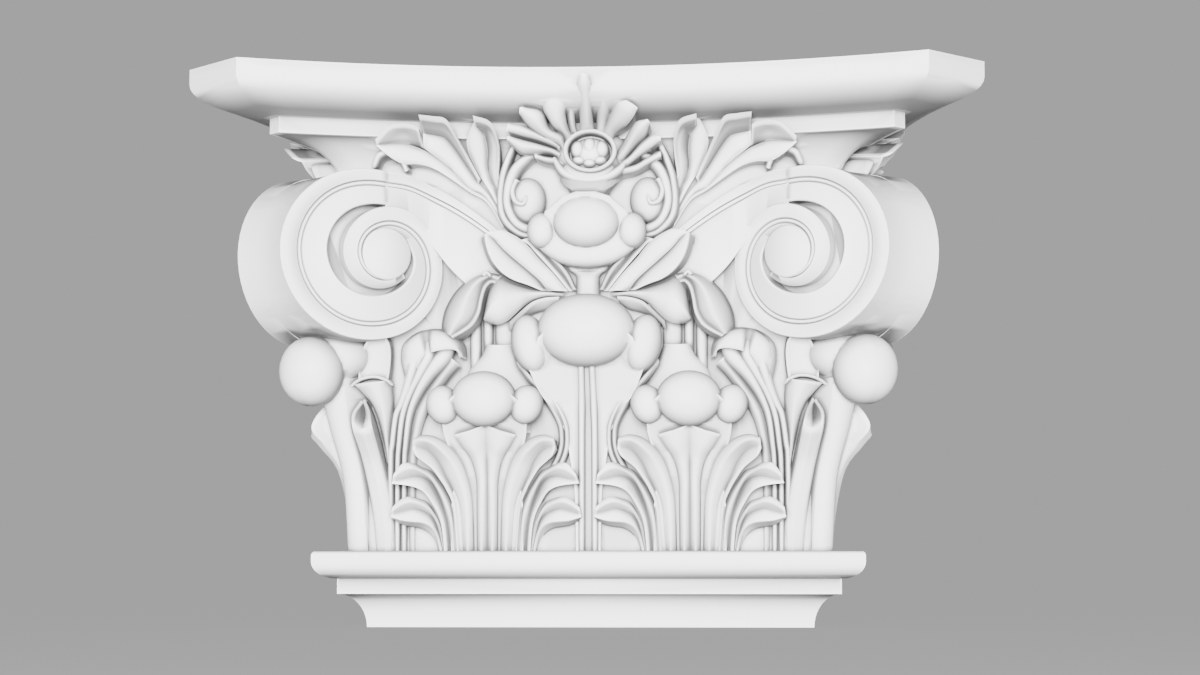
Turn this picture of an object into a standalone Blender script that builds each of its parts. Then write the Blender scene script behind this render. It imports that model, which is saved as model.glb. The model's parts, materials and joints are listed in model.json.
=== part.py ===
"""Half-depth composite capital: moulded base, carved bell, corner scrolls and a concave abacus.

The capital is square in plan and its back half is missing: it is cut off flat through its axis,
where it meets the wall. One eighth of a square capital is carved round its axis and mirrored. The
front then gets its low leaves and the sides a plain leaf each, the block is mirrored again, and it
is moved so that the origin is at the bottom, in the middle of its width and its depth. +Z is up
and the front faces -Y.
"""
import math

import bmesh
import bpy
from mathutils import Matrix, Vector

MM = 0.001

# Base moulding, from the shaft upwards, in millimetres
SHAFT_HALF = 150.0
COVE_HEIGHT = 22.4
COVE_OUT = 17.7
FILLET_HEIGHT = 10.0
ROUND_OUT = 15.2
ROUND_HEIGHT = 18.4
ROUND_EDGE = 3.3

# Bell, the plain block behind the carving: it flares a little and ends in a cove
BELL_HALF = 160.0
BELL_HEIGHT = 276.0
BELL_SINK = 6.0
BELL_CHAMFER = 4.0
BELL_FLARE = 4.0
FLARE_FOOT = 200.0
FLARE_TOP = 285.0
COVE_FOOT = 296.0

# Abacus, seen from above: concave sides that end in cut corners
TOP_HORN = (221.6, 260.6)
TOP_MIDDLE = 218.3
LOW_HORN = (202.9, 210.2)
LOW_MIDDLE = 175.0
LOW_BAND = 10.6
OVOLO_HEIGHT = 19.7
TOP_BAND = 9.7

# Corner scrolls
SCROLL_TURN = math.radians(32.0)
SCROLL_EYE = (134.0, 190.0, 247.5)
EYE_RADIUS = 17.5
SCROLL_FLOOR = -12.0
# Radii at each quarter turn from the top, inwards: outer edge, groove and inner edge of the band
SCROLL_OUTER = (55.5, 75.6, 56.5, 40.3, 32.0, 28.2, 22.6, 19.5)
SCROLL_GROOVE = (46.5, 62.0, 45.8, 29.5, 20.5, 19.0, 16.5, 14.0)
SCROLL_INNER = (33.0, 42.4, 27.0, 19.5, 11.0, 10.0, 9.0, 8.0)
SCROLL_TURNS = 1.6

# The carving is drawn in millimetres on a bell of this size and follows the bell when it changes
DRAWN_HALF = 160.0
DRAWN_FOOT = 50.8
DRAWN_HEIGHT = 276.0
# How far out the backs of the lobes lie, inside the bell, and how wide they are for a lobe
DRAWN_BACK = DRAWN_HALF - 8.0
BACK_SHARE = 0.6

# Where the middle rib of a low leaf stands
LEAF_MIDDLE = 67.7

# Fineness of the faceted solid
PLAN_STEPS = 6
COVE_STEPS = 3
SCROLL_STEPS = 13
BOLSTER_STEPS = 18
EYE_STEPS = 16
CUP_STEPS = 8
BACK_MARGIN = 40.0
FLAT_ANGLE = math.radians(3.0)
KEPT_FACES = 0.49
CLOSED_GAP = 1e-6
# The exact solver loses lobes, or the whole block, where many lobes cross
SOLVER = "MANIFOLD"

BASE_TOP = COVE_HEIGHT + FILLET_HEIGHT + ROUND_HEIGHT
BAND_FOOT = BASE_TOP + BELL_HEIGHT
TOTAL_HEIGHT = BAND_FOOT + LOW_BAND + OVOLO_HEIGHT + TOP_BAND

UP = Vector((0.0, 0.0, 1.0))
ROOT_TWO = math.sqrt(2.0)


def remove_everything():
    """Start from an empty scene."""
    for thing in list(bpy.data.objects):
        bpy.data.objects.remove(thing, do_unlink=True)


def fit_height(height):
    """Height, in millimetres, of a level drawn on the reference bell."""
    return BASE_TOP + (height - DRAWN_FOOT) * BELL_HEIGHT / DRAWN_HEIGHT


class Place:
    """A drawing board for carving: across, up and outwards from an origin."""

    def __init__(self, across, outward, origin=(0.0, 0.0, 0.0), back=DRAWN_BACK):
        self.across = Vector(across).normalized()
        self.outward = Vector(outward).normalized()
        self.origin = Vector(origin)
        self.back = back
        self.scale = BELL_HALF / DRAWN_HALF

    def point(self, across, height, depth):
        """The position in millimetres of a point drawn on this board."""
        flat = (self.across * across + self.outward * depth) * self.scale
        return self.origin + flat + UP * height * BELL_HEIGHT / DRAWN_HEIGHT


def face_board():
    """The board of the front face, whose depths count from the capital's axis."""
    foot = BASE_TOP - DRAWN_FOOT * BELL_HEIGHT / DRAWN_HEIGHT
    return Place((1, 0, 0), (0, -1, 0), (0, 0, foot))


def side_board():
    """The board of the right side, which is the front's mirrored in the diagonal."""
    foot = BASE_TOP - DRAWN_FOOT * BELL_HEIGHT / DRAWN_HEIGHT
    return Place((0, -1, 0), (1, 0, 0), (0, 0, foot))


def corner_board():
    """The board of the front right corner, across its diagonal."""
    foot = BASE_TOP - DRAWN_FOOT * BELL_HEIGHT / DRAWN_HEIGHT
    return Place((-1, -1, 0), (1, -1, 0), (0, 0, foot), DRAWN_BACK * ROOT_TWO)


def scroll_board():
    """The board of the front right scroll, centred on its eye and turned to the face's middle."""
    eye = face_board().point(SCROLL_EYE[0], SCROLL_EYE[2], SCROLL_EYE[1])
    across = (math.cos(SCROLL_TURN), -math.sin(SCROLL_TURN), 0)
    outward = (-math.sin(SCROLL_TURN), -math.cos(SCROLL_TURN), 0)
    return Place(across, outward, eye)


def smooth_rows(rows, count):
    """Rows of numbers read from a smooth curve that passes through the given rows."""
    size = len(rows[0])
    first = [2 * rows[0][k] - rows[1][k] for k in range(size)]
    last = [2 * rows[-1][k] - rows[-2][k] for k in range(size)]
    ends = [first] + [list(row) for row in rows] + [last]
    result = []
    for step in range(count + 1):
        along = step * (len(rows) - 1) / count
        index = min(int(along), len(rows) - 2)
        t = along - index
        p, q, r, s = ends[index:index + 4]
        row = [0.5 * (2 * q[k] + (r[k] - p[k]) * t + (2 * p[k] - 5 * q[k] + 4 * r[k] - s[k]) * t ** 2
                      + (3 * q[k] - p[k] - 3 * r[k] + s[k]) * t ** 3) for k in range(size)]
        result.append(row)
    return result


def table_value(table, position):
    """A value read from a smooth curve through an evenly spaced table."""
    rows = [(value,) for value in table]
    position = min(max(position, 0.0), len(table) - 1.0)
    index = min(int(position), len(table) - 2)
    t = position - index
    p = rows[max(index - 1, 0)][0]
    q = rows[index][0]
    r = rows[index + 1][0]
    s = rows[min(index + 2, len(rows) - 1)][0]
    return 0.5 * (2 * q + (r - p) * t + (2 * p - 5 * q + 4 * r - s) * t ** 2
                  + (3 * q - p - 3 * r + s) * t ** 3)


def solid_from_rings(name, rings, tip_start=None, tip_end=None):
    """A closed object from rings of points in millimetres, each with as many points."""
    mesh = bmesh.new()
    levels = [[mesh.verts.new(point * MM) for point in ring] for ring in rings]
    size = len(levels[0])
    for low, high in zip(levels, levels[1:]):
        for k in range(size):
            n = (k + 1) % size
            mesh.faces.new((low[k], low[n], high[n], high[k]))
    for ring, tip in ((levels[0], tip_start), (levels[-1], tip_end)):
        if tip is None:
            mesh.faces.new(ring)
            continue
        point = mesh.verts.new(tip * MM)
        for k in range(size):
            mesh.faces.new((ring[k], ring[(k + 1) % size], point))
    return object_from(name, mesh)


def object_from(name, mesh):
    """Turn a closed bmesh into an object in the scene, its faces pointing out."""
    mesh.normal_update()
    bmesh.ops.recalc_face_normals(mesh, faces=mesh.faces)
    if mesh.calc_volume(signed=True) < 0:
        bmesh.ops.reverse_faces(mesh, faces=mesh.faces)
    data = bpy.data.meshes.new(name)
    mesh.to_mesh(data)
    mesh.free()
    thing = bpy.data.objects.new(name, data)
    bpy.context.scene.collection.objects.link(thing)
    return thing


def rounded(share):
    """A plain rounded section: 0 at its edges, 1 on its crown."""
    return (1.0 - abs(share) ** 2.4) ** 0.8


def folded(share):
    """A rounded section with a groove along its middle."""
    return rounded(share) * (1.0 - 0.6 * math.exp(-(share / 0.25) ** 2))


def strand(board, name, rows, section=rounded, length_steps=4, width_steps=4):
    """A lobe, rib or stem in relief, whose narrower back reaches into the bell.

    Its rows are (across, height, depth, half width, rise), drawn on the board.
    """
    stations = smooth_rows(rows, length_steps)
    centres = [board.point(*station[:3]) for station in stations]
    rings = []
    for index, (across, height, _, half, rise) in enumerate(stations):
        before = centres[max(index - 1, 0)]
        after = centres[min(index + 1, len(centres) - 1)]
        along = (after - before).normalized()
        flat = along - board.outward * along.dot(board.outward)
        side = flat.normalized().cross(board.outward).normalized()
        out = side.cross(along).normalized()
        if out.dot(board.outward) < 0:
            out = -out
        ring = []
        for step in range(width_steps + 1):
            share = 2.0 * step / width_steps - 1.0
            lift = rise * max(section(share), 0.0)
            ring.append(centres[index] + (side * share * half + out * lift) * board.scale)
        back = board.point(across, height, board.back)
        ring.append(back + side * half * BACK_SHARE * board.scale)
        ring.append(back - side * half * BACK_SHARE * board.scale)
        rings.append(ring)
    return solid_from_rings(name, rings)


def ball(board, name, centre, radii, tilt=0.0, segments=8, rings=5, free=False):
    """An egg-shaped ball: centre (across, height, depth), radii (across, height, depth).

    Unless it is free, its back half is drawn out until it meets the bell.
    """
    mesh = bmesh.new()
    bmesh.ops.create_uvsphere(mesh, u_segments=segments, v_segments=rings, radius=1.0)
    axes = Matrix((board.across, UP, board.outward)).transposed()
    turn = Matrix.Rotation(tilt, 3, "Z")
    for vert in mesh.verts:
        out = vert.co.y * radii[2]
        if out < 0 and not free:
            out = vert.co.y * (centre[2] - board.back)
        local = turn @ Vector((vert.co.x * radii[0], vert.co.z * radii[1], out))
        vert.co = (board.point(*centre) + axes @ local * board.scale) * MM
    return object_from(name, mesh)


def plan_outline(horn, middle, height):
    """One level of the block: four concave sides and four cut corners, as points."""
    half, depth = horn
    side = []
    for step in range(PLAN_STEPS + 1):
        across = half * (2.0 * step / PLAN_STEPS - 1.0)
        side.append((across, middle + (depth - middle) * (across / half) ** 2))
    points = []
    for quarter in range(4):
        turn = Matrix.Rotation(quarter * math.pi / 2, 3, "Z")
        points += [turn @ Vector((across, -out, height)) for across, out in side]
    return points


def make_bell_and_abacus():
    """The plain block: bell, cove, low band, ovolo and top band."""
    def horn(share):
        return tuple(top + (low - top) * share for top, low in zip(TOP_HORN, LOW_HORN))

    def middle(share):
        return TOP_MIDDLE + (LOW_MIDDLE - TOP_MIDDLE) * share

    foot = BELL_HALF - BELL_CHAMFER
    head = BELL_HALF + BELL_FLARE
    rings = [plan_outline((foot, foot + 1), BELL_HALF, BASE_TOP - BELL_SINK)]
    rings.append(plan_outline((foot, foot + 1), BELL_HALF, BASE_TOP))
    rings.append(plan_outline((foot, foot + 1), BELL_HALF - 1, fit_height(FLARE_FOOT)))
    rings.append(plan_outline((head, head + 1), head - 1, fit_height(FLARE_TOP)))
    cove_foot = fit_height(COVE_FOOT)
    for step in range(COVE_STEPS + 1):
        turn = math.pi / 2 * step / COVE_STEPS
        out = 1.0 - math.cos(turn)
        level = cove_foot + (BAND_FOOT - cove_foot) * math.sin(turn)
        edge = tuple(a + (b - a) * out for a, b in zip((head + 2, head + 4), LOW_HORN))
        rings.append(plan_outline(edge, head + (LOW_MIDDLE - head) * out, level))
    band_top = BAND_FOOT + LOW_BAND
    rings.append(plan_outline(LOW_HORN, LOW_MIDDLE, band_top))
    for step in range(1, COVE_STEPS + 1):
        turn = math.pi / 2 * step / COVE_STEPS
        share = 1.0 - math.sin(turn)
        level = band_top + OVOLO_HEIGHT * (1.0 - math.cos(turn))
        rings.append(plan_outline(horn(share), middle(share), level))
    rings.append(plan_outline(TOP_HORN, TOP_MIDDLE, TOTAL_HEIGHT))
    return solid_from_rings("block", rings)


def make_base():
    """The square base moulding: cove, fillet and round."""
    profile = []
    for step in range(COVE_STEPS + 1):
        turn = math.pi / 2 * step / COVE_STEPS
        profile.append((SHAFT_HALF + COVE_OUT * (1.0 - math.cos(turn)), COVE_HEIGHT * math.sin(turn)))
    fillet_half = SHAFT_HALF + COVE_OUT
    fillet_top = COVE_HEIGHT + FILLET_HEIGHT
    under = (ROUND_HEIGHT - ROUND_EDGE) * 0.75
    for step in range(COVE_STEPS + 1):
        turn = math.pi / 2 * step / COVE_STEPS
        level = fillet_top + under * (1.0 - math.cos(turn))
        profile.append((fillet_half + ROUND_OUT * math.sin(turn), level))
    profile.append((fillet_half + ROUND_OUT, BASE_TOP - ROUND_EDGE))
    profile.append((fillet_half + ROUND_OUT - ROUND_EDGE * 0.3, BASE_TOP - ROUND_EDGE * 0.3))
    profile.append((fillet_half + ROUND_OUT - ROUND_EDGE, BASE_TOP))
    rings = []
    for half, level in profile:
        rings.append([Vector((half * x, half * y, level)) for x, y in ((1, -1), (1, 1), (-1, 1), (-1, -1))])
    return solid_from_rings("base", rings)


def spiral(board, angle, radius, lift):
    """A point of the scroll: angle from the top, outwards first, in quarter turns."""
    turn = angle * math.pi / 2
    return board.point(math.sin(turn) * radius, math.cos(turn) * radius, lift)


def make_scroll(board):
    """The raised spiral band of a scroll, its eye and the thick disc behind."""
    pieces = []
    rings = []
    steps = int(SCROLL_TURNS * SCROLL_STEPS)
    for step in range(steps + 1):
        angle = 4.0 * SCROLL_TURNS * step / steps
        outer = table_value(SCROLL_OUTER, angle)
        groove = table_value(SCROLL_GROOVE, angle)
        inner = table_value(SCROLL_INNER, angle)
        section = ((outer, SCROLL_FLOOR - 4), (outer, 2.5), (groove + 2, 2.5), (groove, 0.2),
                   (groove - 2, 1.5), (inner, 1.5), (inner, SCROLL_FLOOR - 4))
        rings.append([spiral(board, angle, radius, lift) for radius, lift in section])
    pieces.append(solid_from_rings("scroll_band", rings))
    eye = []
    for lift, radius in ((SCROLL_FLOOR - 4, EYE_RADIUS), (1.0, EYE_RADIUS), (2.5, EYE_RADIUS - 2)):
        eye.append([spiral(board, 4 * k / EYE_STEPS, radius, lift) for k in range(EYE_STEPS)])
    pieces.append(solid_from_rings("scroll_eye", eye))
    return pieces


def make_bolster(board):
    """The thick body between the front scroll and the side scroll of the corner."""
    front = []
    for step in range(BOLSTER_STEPS):
        angle = 4.0 * step / BOLSTER_STEPS
        radius = table_value(SCROLL_OUTER, min(angle, 3.0))
        front.append(spiral(board, angle, radius - 0.6, SCROLL_FLOOR))
    side = [Vector((-point.y, -point.x, point.z)) for point in front]
    return solid_from_rings("bolster", [front, side])


def make_scroll_stem(face):
    """The flat stem that leaves the top of the scroll and runs down to the middle of the face."""
    upper = ((140, 302.5, 182), (131, 304, 179), (115, 299.5, 172.5), (90, 288, 169), (62, 265, 167))
    lower = ((140, 262, 182), (128, 262, 176), (107, 248, 170), (84, 231, 168), (58, 210, 166))
    profile = ((0.0, -9.0), (0.0, 2.5), (0.19, 2.5), (0.23, 0.2), (0.27, 1.5), (1.0, 1.5), (1.0, -9.0))
    rings = []
    for top, low in zip(smooth_rows(upper, 7), smooth_rows(lower, 7)):
        ring = []
        for share, lift in profile:
            across, height, depth = (a + (b - a) * share for a, b in zip(top, low))
            ring.append(face.point(across, height, depth + lift))
        rings.append(ring)
    return solid_from_rings("scroll_stem", rings)


def leaf_side(face, side):
    """One side of a low acanthus leaf: three lobes that part from its ribs."""
    lobes = (
        ((10.2, 50, 163, 3.6, 5), (12.6, 70, 165, 4, 5.5), (17.2, 88, 168, 5.4, 6.5), (25, 104, 174, 9.3, 8),
         (34, 115.5, 182, 11.5, 8.5), (43, 121.5, 188, 8, 6.5), (49.5, 124.5, 190, 2, 3)),
        ((17.2, 50, 162.5, 3.2, 5), (19.5, 65, 164, 3.8, 5.5), (24.5, 81, 167, 5.4, 6.5),
         (33, 92.5, 171, 9.2, 8), (43, 98, 175, 10.5, 8), (53, 98, 177, 7.8, 6.5), (62, 95, 177, 2, 3)),
        ((23, 50, 162, 3, 5), (26, 62, 164, 4, 5.5), (32, 70, 166, 7.5, 7), (41, 74, 168, 10.2, 7.5),
         (50, 73.5, 169, 8.4, 6.5), (58.5, 70, 169, 2.2, 3)),
    )
    pieces = []
    for rows in lobes:
        placed = [(LEAF_MIDDLE + side * row[0],) + row[1:] for row in rows]
        pieces.append(strand(face, "leaf_lobe", placed, folded, 7))
    return pieces


def make_low_leaf(face):
    """The low acanthus leaf with its ribs, its two sides of lobes and the three balls above."""
    middle = LEAF_MIDDLE
    pieces = leaf_side(face, 1) + leaf_side(face, -1)
    blade = ((0, 50, 160, 24, 4), (0, 90, 163, 23, 5), (0, 115, 171, 23, 6), (0, 136, 185, 28, 6))
    pieces.append(strand(face, "leaf_blade", [(middle + row[0],) + row[1:] for row in blade]))
    for side in (-1, 1):
        rib = ((middle + 3.4 * side, 50, 166, 3.0, 3.5), (middle + 3.4 * side, 95, 170, 3.2, 3.5),
               (middle + 3.6 * side, 130, 184, 3.4, 3))
        pieces.append(strand(face, "leaf_rib", rib, length_steps=3, width_steps=2))
    back = ((62, 140, 160, 22, 8), (60, 170, 165, 20, 8), (58, 188, 170, 11, 6))
    pieces.append(strand(face, "leaf_back", back, length_steps=3))
    pieces.append(ball(face, "leaf_ball", (middle, 150.8, 191), (21.6, 18.3, 17), 0.0, 10, 6))
    for side in (-1, 1):
        centre = (middle + 27.5 * side, 147, 187)
        pieces.append(ball(face, "leaf_ball_side", centre, (11.2, 13, 12), -0.2 * side, 6, 5))
    return pieces


def make_plain_leaf(side):
    """The plain leaf that stands low on a side, where the front has its low acanthus leaf."""
    rows = ((LEAF_MIDDLE, 50, 158, 20, 5), (LEAF_MIDDLE, 90, 160, 22, 6), (LEAF_MIDDLE, 124, 164, 25, 8),
            (LEAF_MIDDLE, 146, 169, 21, 9), (LEAF_MIDDLE, 160, 171, 9, 6))
    return [strand(side, "plain_leaf", rows, folded, 6)]


def make_middle_leaf(face):
    """The tall middle leaf, the stems beside it and the big trio of balls that it carries."""
    blade = ((0, 50, 160, 8, 6), (0, 100, 162, 9, 6), (0, 130, 164, 15, 6), (0, 155, 172, 28, 8),
             (0, 176, 184, 38, 10))
    pieces = [strand(face, "middle_leaf", blade, folded, 5)]
    stem = ((34, 84, 159, 3.5, 4), (24, 102, 161, 4.2, 6), (16.5, 122, 164, 4.3, 8),
            (18.2, 139, 167.5, 4.2, 8.5), (28, 156, 172, 4.6, 9), (41, 171, 176, 5, 9), (50, 182, 178, 4, 7))
    pieces.append(strand(face, "middle_stem", stem, rounded, 7, 2))
    pieces.append(ball(face, "middle_ball", (0, 195.9, 191), (32.6, 24.3, 24), 0.0, 12, 6))
    pieces.append(ball(face, "middle_ball_side", (37.3, 187.3, 186), (12.6, 19.5, 16), 0.2, 8, 6))
    return pieces


def make_drooping_leaves(face):
    """The two lobes that droop beside the big balls, and the short stems under them."""
    outer = ((65, 237, 170, 2.5, 6), (74, 232.5, 174, 8.5, 10), (82, 221, 179, 14, 13),
             (86.5, 204, 181, 15, 12), (91.5, 196, 179, 10.5, 9), (97.5, 189.5, 177, 3, 5))
    inner = ((2, 220, 166, 3, 5), (18, 223, 170, 5, 8), (33, 225.5, 174, 7, 10), (46, 224.5, 178, 10, 12),
             (55, 219, 181, 12, 13), (59.5, 211.5, 182, 9.5, 12), (60, 203, 181, 3, 7))
    pieces = [strand(face, "droop_outer", outer, length_steps=6)]
    pieces.append(strand(face, "droop_inner", inner, length_steps=7))
    for across, half in ((74.5, 5.5), (60.5, 6)):
        stem = ((across, 150, 160, half, 7), (across, 180, 161, half, 8), (across, 212, 166, half, 8))
        pieces.append(strand(face, "droop_stem", stem, folded, 1))
    return pieces


def make_pointed_leaf(face):
    """The pointed leaf above the big balls, and the cup and balls over it."""
    rows = ((14, 218, 166, 5, 6), (22, 224.5, 168, 7.5, 8), (30, 233, 171, 10.3, 9),
            (39.5, 243.5, 174.5, 11.8, 9), (50, 252.5, 179, 11.3, 9), (60, 257.8, 183, 6.8, 8),
            (68.5, 259.5, 185, 2, 4))
    pieces = [strand(face, "pointed_leaf", rows, folded, 6)]
    cup = ((0, 214, 166, 8, 7), (0, 230, 170, 10, 8), (0, 241, 175, 19, 10), (0, 258, 185, 31, 8))
    pieces.append(strand(face, "cup", cup, rounded, 4))
    pieces.append(ball(face, "cup_ball", (0, 268.4, 190), (22.7, 18.3, 19), 0.0, 10, 6))
    pieces.append(ball(face, "cup_ball_side", (29.8, 263, 186), (10.0, 11.9, 12), 0.0, 6, 5))
    return pieces


def make_upper_leaf(face):
    """The half leaf that spreads from the scroll stem up over the abacus bands."""
    lobes = (
        ((64, 256, 166, 3, 6), (64, 278, 169, 4.5, 8), (67, 299, 173, 7.5, 9), (69.5, 318, 180, 12, 9),
         (71.5, 329, 186, 12, 9), (74, 342, 186, 2, 3)),
        ((66, 256, 166, 3, 6), (72, 278, 169, 4, 8), (80, 298, 173, 6.5, 9), (91, 315, 180, 9.5, 9),
         (101, 328, 187, 11, 9), (113.5, 343, 189, 2, 3)),
        ((69, 257, 166, 3, 6), (78, 278, 169, 4.5, 8), (90, 294, 173, 7, 9), (106, 309, 179, 9.5, 9),
         (122, 321, 187, 12, 9), (137, 328.5, 193, 9.5, 6), (148, 328, 193, 2, 2)),
        ((74, 264, 166, 3, 5), (88, 283, 169, 5, 7), (104, 297.5, 173, 7.5, 8), (122, 309, 178, 8, 8),
         (138, 310, 182, 4, 5)),
        ((36, 261, 168, 2, 6), (47, 263.5, 169, 3, 8), (56.5, 272, 170, 3.4, 9), (60, 285, 171, 3.6, 9),
         (58, 300, 173.5, 3.6, 9), (50, 320, 182, 2.2, 5)),
    )
    return [strand(face, "upper_lobe", rows, folded, 6) for rows in lobes]


def make_helix(face):
    """The small inner scroll: a bulb with a band round its outer side."""
    band = ((28, 266, 167, 3, 8), (38, 265.5, 168, 4, 9), (48, 270, 169, 4.3, 10),
            (53.5, 281, 170.5, 4.5, 10.5), (53, 294, 172.5, 4.5, 10.5), (48.5, 305, 176, 4.5, 9),
            (36, 314, 182, 2.5, 6))
    pieces = [strand(face, "helix_band", band, rounded, 7, 2)]
    pieces.append(ball(face, "helix_bulb", (40.5, 285.5, 172), (13, 16.5, 13), 0.0, 8, 5))
    return pieces


def make_fleuron(face):
    """The flower on the middle of the abacus: petals round a cup with a bud in it."""
    tips = ((18, 353.5, 5.5), (36.5, 341.5, 6), (46.5, 328, 6), (45, 315, 5))
    root = (0.0, 312.0)
    pieces = []
    for across, height, half in tips:
        middle = (root[0] + (across - root[0]) * 0.6, root[1] + (height - root[1]) * 0.6)
        lean = (height - root[1]) / 45.0
        rows = ((root[0] + across * 0.2, root[1] + (height - root[1]) * 0.2, 184, half * 0.8, 8),
                (middle[0], middle[1], 190 + 13 * lean, half, 9),
                (across, height, 198 + 18 * lean, half * 0.6, 7))
        pieces.append(strand(face, "petal", rows, folded, 3))
    top = ((0, 318, 186, 5, 8), (0, 338, 201, 4.5, 9), (0, 352, 212, 5, 7), (0, 360, 217, 3, 4))
    pieces.append(strand(face, "petal_top", top, rounded, 3, 2))
    neck = ((0, 280, 172, 16, 8), (0, 292, 178, 14, 10), (0, 306, 188, 20, 10))
    pieces.append(strand(face, "flower_neck", neck, rounded, 2, 4))
    rings = []
    for radius, lift in ((0.7, 184.0), (1.0, 202.0), (0.86, 205.0), (0.7, 198.0)):
        ring = []
        for k in range(CUP_STEPS):
            turn = 2 * math.pi * k / CUP_STEPS
            across = 17.2 * radius * math.sin(turn)
            height = 313.5 + 13.6 * radius * math.cos(turn)
            ring.append(face.point(across, height, lift))
        rings.append(ring)
    pieces.append(solid_from_rings("flower_cup", rings))
    pieces.append(ball(face, "bud", (0, 313.5, 198), (12, 9.4, 8), 0.0, 6, 4))
    return pieces


def make_caulicole(face):
    """The stem beside the corner leaf, with a curled lobe on each side and an arch over both."""
    left = ((126, 50, 158, 4, 5), (125.5, 105, 160, 4.5, 6), (124, 128, 163, 4, 7), (120, 150, 168, 5, 8),
            (120.5, 170, 174, 6, 10), (122, 190, 179, 5, 6))
    right = ((120, 50, 158, 4, 5), (119.5, 105, 160, 4, 6), (117, 130, 163, 4, 7), (110, 152, 168, 6, 9),
             (100.5, 171, 176, 7.4, 10), (95.5, 188, 180, 4, 6))
    arch = ((126.5, 182, 172, 3, 6), (121, 191.5, 177, 5, 8), (107, 193.5, 179.5, 5.4, 8),
            (94, 190, 178, 5, 8), (88.8, 179, 173, 3, 6))
    pieces = [strand(face, "caulicole_left", left, rounded, 7, 2)]
    pieces.append(strand(face, "caulicole_right", right, rounded, 7, 2))
    pieces.append(strand(face, "caulicole_arch", arch, rounded, 6, 2))
    return pieces


def make_corner_leaf(face, corner):
    """The leaf on the diagonal: a round stem with a ball, and on each face a tube, a fold and a tab."""
    stem = ((0, 48, 154.3 * ROOT_TWO, 8.8, 8), (0, 100, 157.8 * ROOT_TWO, 8.6, 8),
            (0, 135, 165.8 * ROOT_TWO, 9.8, 8), (0, 178, 173 * ROOT_TWO, 14, 8))
    pieces = [strand(corner, "corner_stem", stem, rounded, 4, 6)]
    tube = ((135.5, 48, 154, 8.6, 9), (137, 71, 156, 8.6, 9), (142, 100, 161, 8.4, 9),
            (147, 118, 169, 8.3, 9), (151, 132, 180, 8, 9), (153.5, 142, 178, 6, 7), (156, 151, 172, 2, 4))
    pieces.append(strand(face, "corner_tube", tube, rounded, 6, 4))
    fold = ((131.5, 92, 157, 1.8, 4), (133, 108, 159, 3.6, 6), (136, 122, 161.5, 6, 8),
            (144.5, 150, 169.5, 11.5, 11), (149, 165.5, 176.5, 14.5, 8))
    pieces.append(strand(face, "corner_fold", fold, rounded, 5, 4))
    tab = ((148, 155, 168, 12, 8), (150, 176, 175, 12, 8), (151, 193, 178, 5, 5))
    pieces.append(strand(face, "corner_tab", tab, rounded, 3, 4))
    middle = (0, 170, 183.5 * ROOT_TWO)
    pieces.append(ball(corner, "corner_ball", middle, (21.5, 23.5, 22), 0.0, 12, 6, True))
    root = (0, 181, 168 * ROOT_TWO)
    pieces.append(ball(corner, "corner_ball_root", root, (21, 18, 24), 0.0, 10, 6, True))
    return pieces


def unite(block, pieces):
    """Join every piece to the block as one closed solid."""
    group = bpy.data.collections.new("carving")
    bpy.context.scene.collection.children.link(group)
    for piece in pieces:
        bpy.context.scene.collection.objects.unlink(piece)
        group.objects.link(piece)
    join = block.modifiers.new("unite", "BOOLEAN")
    join.operation = "UNION"
    join.operand_type = "COLLECTION"
    join.collection = group
    join.solver = SOLVER
    apply_modifiers(block)
    for piece in pieces:
        bpy.data.objects.remove(piece, do_unlink=True)
    bpy.data.collections.remove(group)


def apply_modifiers(thing):
    """Replace an object's mesh by what its modifiers make of it."""
    evaluated = thing.evaluated_get(bpy.context.evaluated_depsgraph_get())
    mesh = bpy.data.meshes.new_from_object(evaluated)
    thing.modifiers.clear()
    thing.data = mesh


def mirror_about(thing, normal):
    """Cut the object on a plane through the axis and mirror the side that the normal leaves."""
    mesh = bmesh.new()
    mesh.from_mesh(thing.data)
    plane = Vector(normal).normalized()
    geometry = list(mesh.verts) + list(mesh.edges) + list(mesh.faces)
    bmesh.ops.bisect_plane(mesh, geom=geometry, dist=1e-7, plane_co=(0, 0, 0), plane_no=plane,
                           clear_outer=True)
    for vert in mesh.verts:
        away = vert.co.dot(plane)
        if abs(away) < 2e-6:
            vert.co -= plane * away
    copy = bmesh.ops.duplicate(mesh, geom=list(mesh.verts) + list(mesh.edges) + list(mesh.faces))
    twins = [item for item in copy["geom"] if isinstance(item, bmesh.types.BMVert)]
    faces = [item for item in copy["geom"] if isinstance(item, bmesh.types.BMFace)]
    for vert in twins:
        vert.co -= 2.0 * vert.co.dot(plane) * plane
    bmesh.ops.reverse_faces(mesh, faces=faces)
    seam = [vert for vert in mesh.verts if abs(vert.co.dot(plane)) < 2e-6]
    bmesh.ops.remove_doubles(mesh, verts=seam, dist=1e-6)
    mesh.to_mesh(thing.data)
    mesh.free()


def fill_pockets(mesh):
    """Fill the sealed hollows that stay behind the carving: only the outer skin is kept."""
    left = set(mesh.verts)
    shells = []
    while left:
        start = left.pop()
        shell = {start}
        front = [start]
        while front:
            vert = front.pop()
            for edge in vert.link_edges:
                other = edge.other_vert(vert)
                if other in left:
                    left.discard(other)
                    shell.add(other)
                    front.append(other)
        shells.append(shell)
    shells.sort(key=len)
    inner = [vert for shell in shells[:-1] for vert in shell]
    bmesh.ops.delete(mesh, geom=inner, context="VERTS")


def close_folds(thing):
    """Close the folds that thinning leaves, where one edge is shared by more than two faces."""
    mesh = bmesh.new()
    mesh.from_mesh(thing.data)
    folds = [edge for edge in mesh.edges if len(edge.link_faces) != 2]
    while folds:
        bmesh.ops.collapse(mesh, edges=folds)
        bmesh.ops.dissolve_degenerate(mesh, edges=mesh.edges, dist=CLOSED_GAP)
        folds = [edge for edge in mesh.edges if len(edge.link_faces) != 2]
    mesh.to_mesh(thing.data)
    mesh.free()


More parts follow.
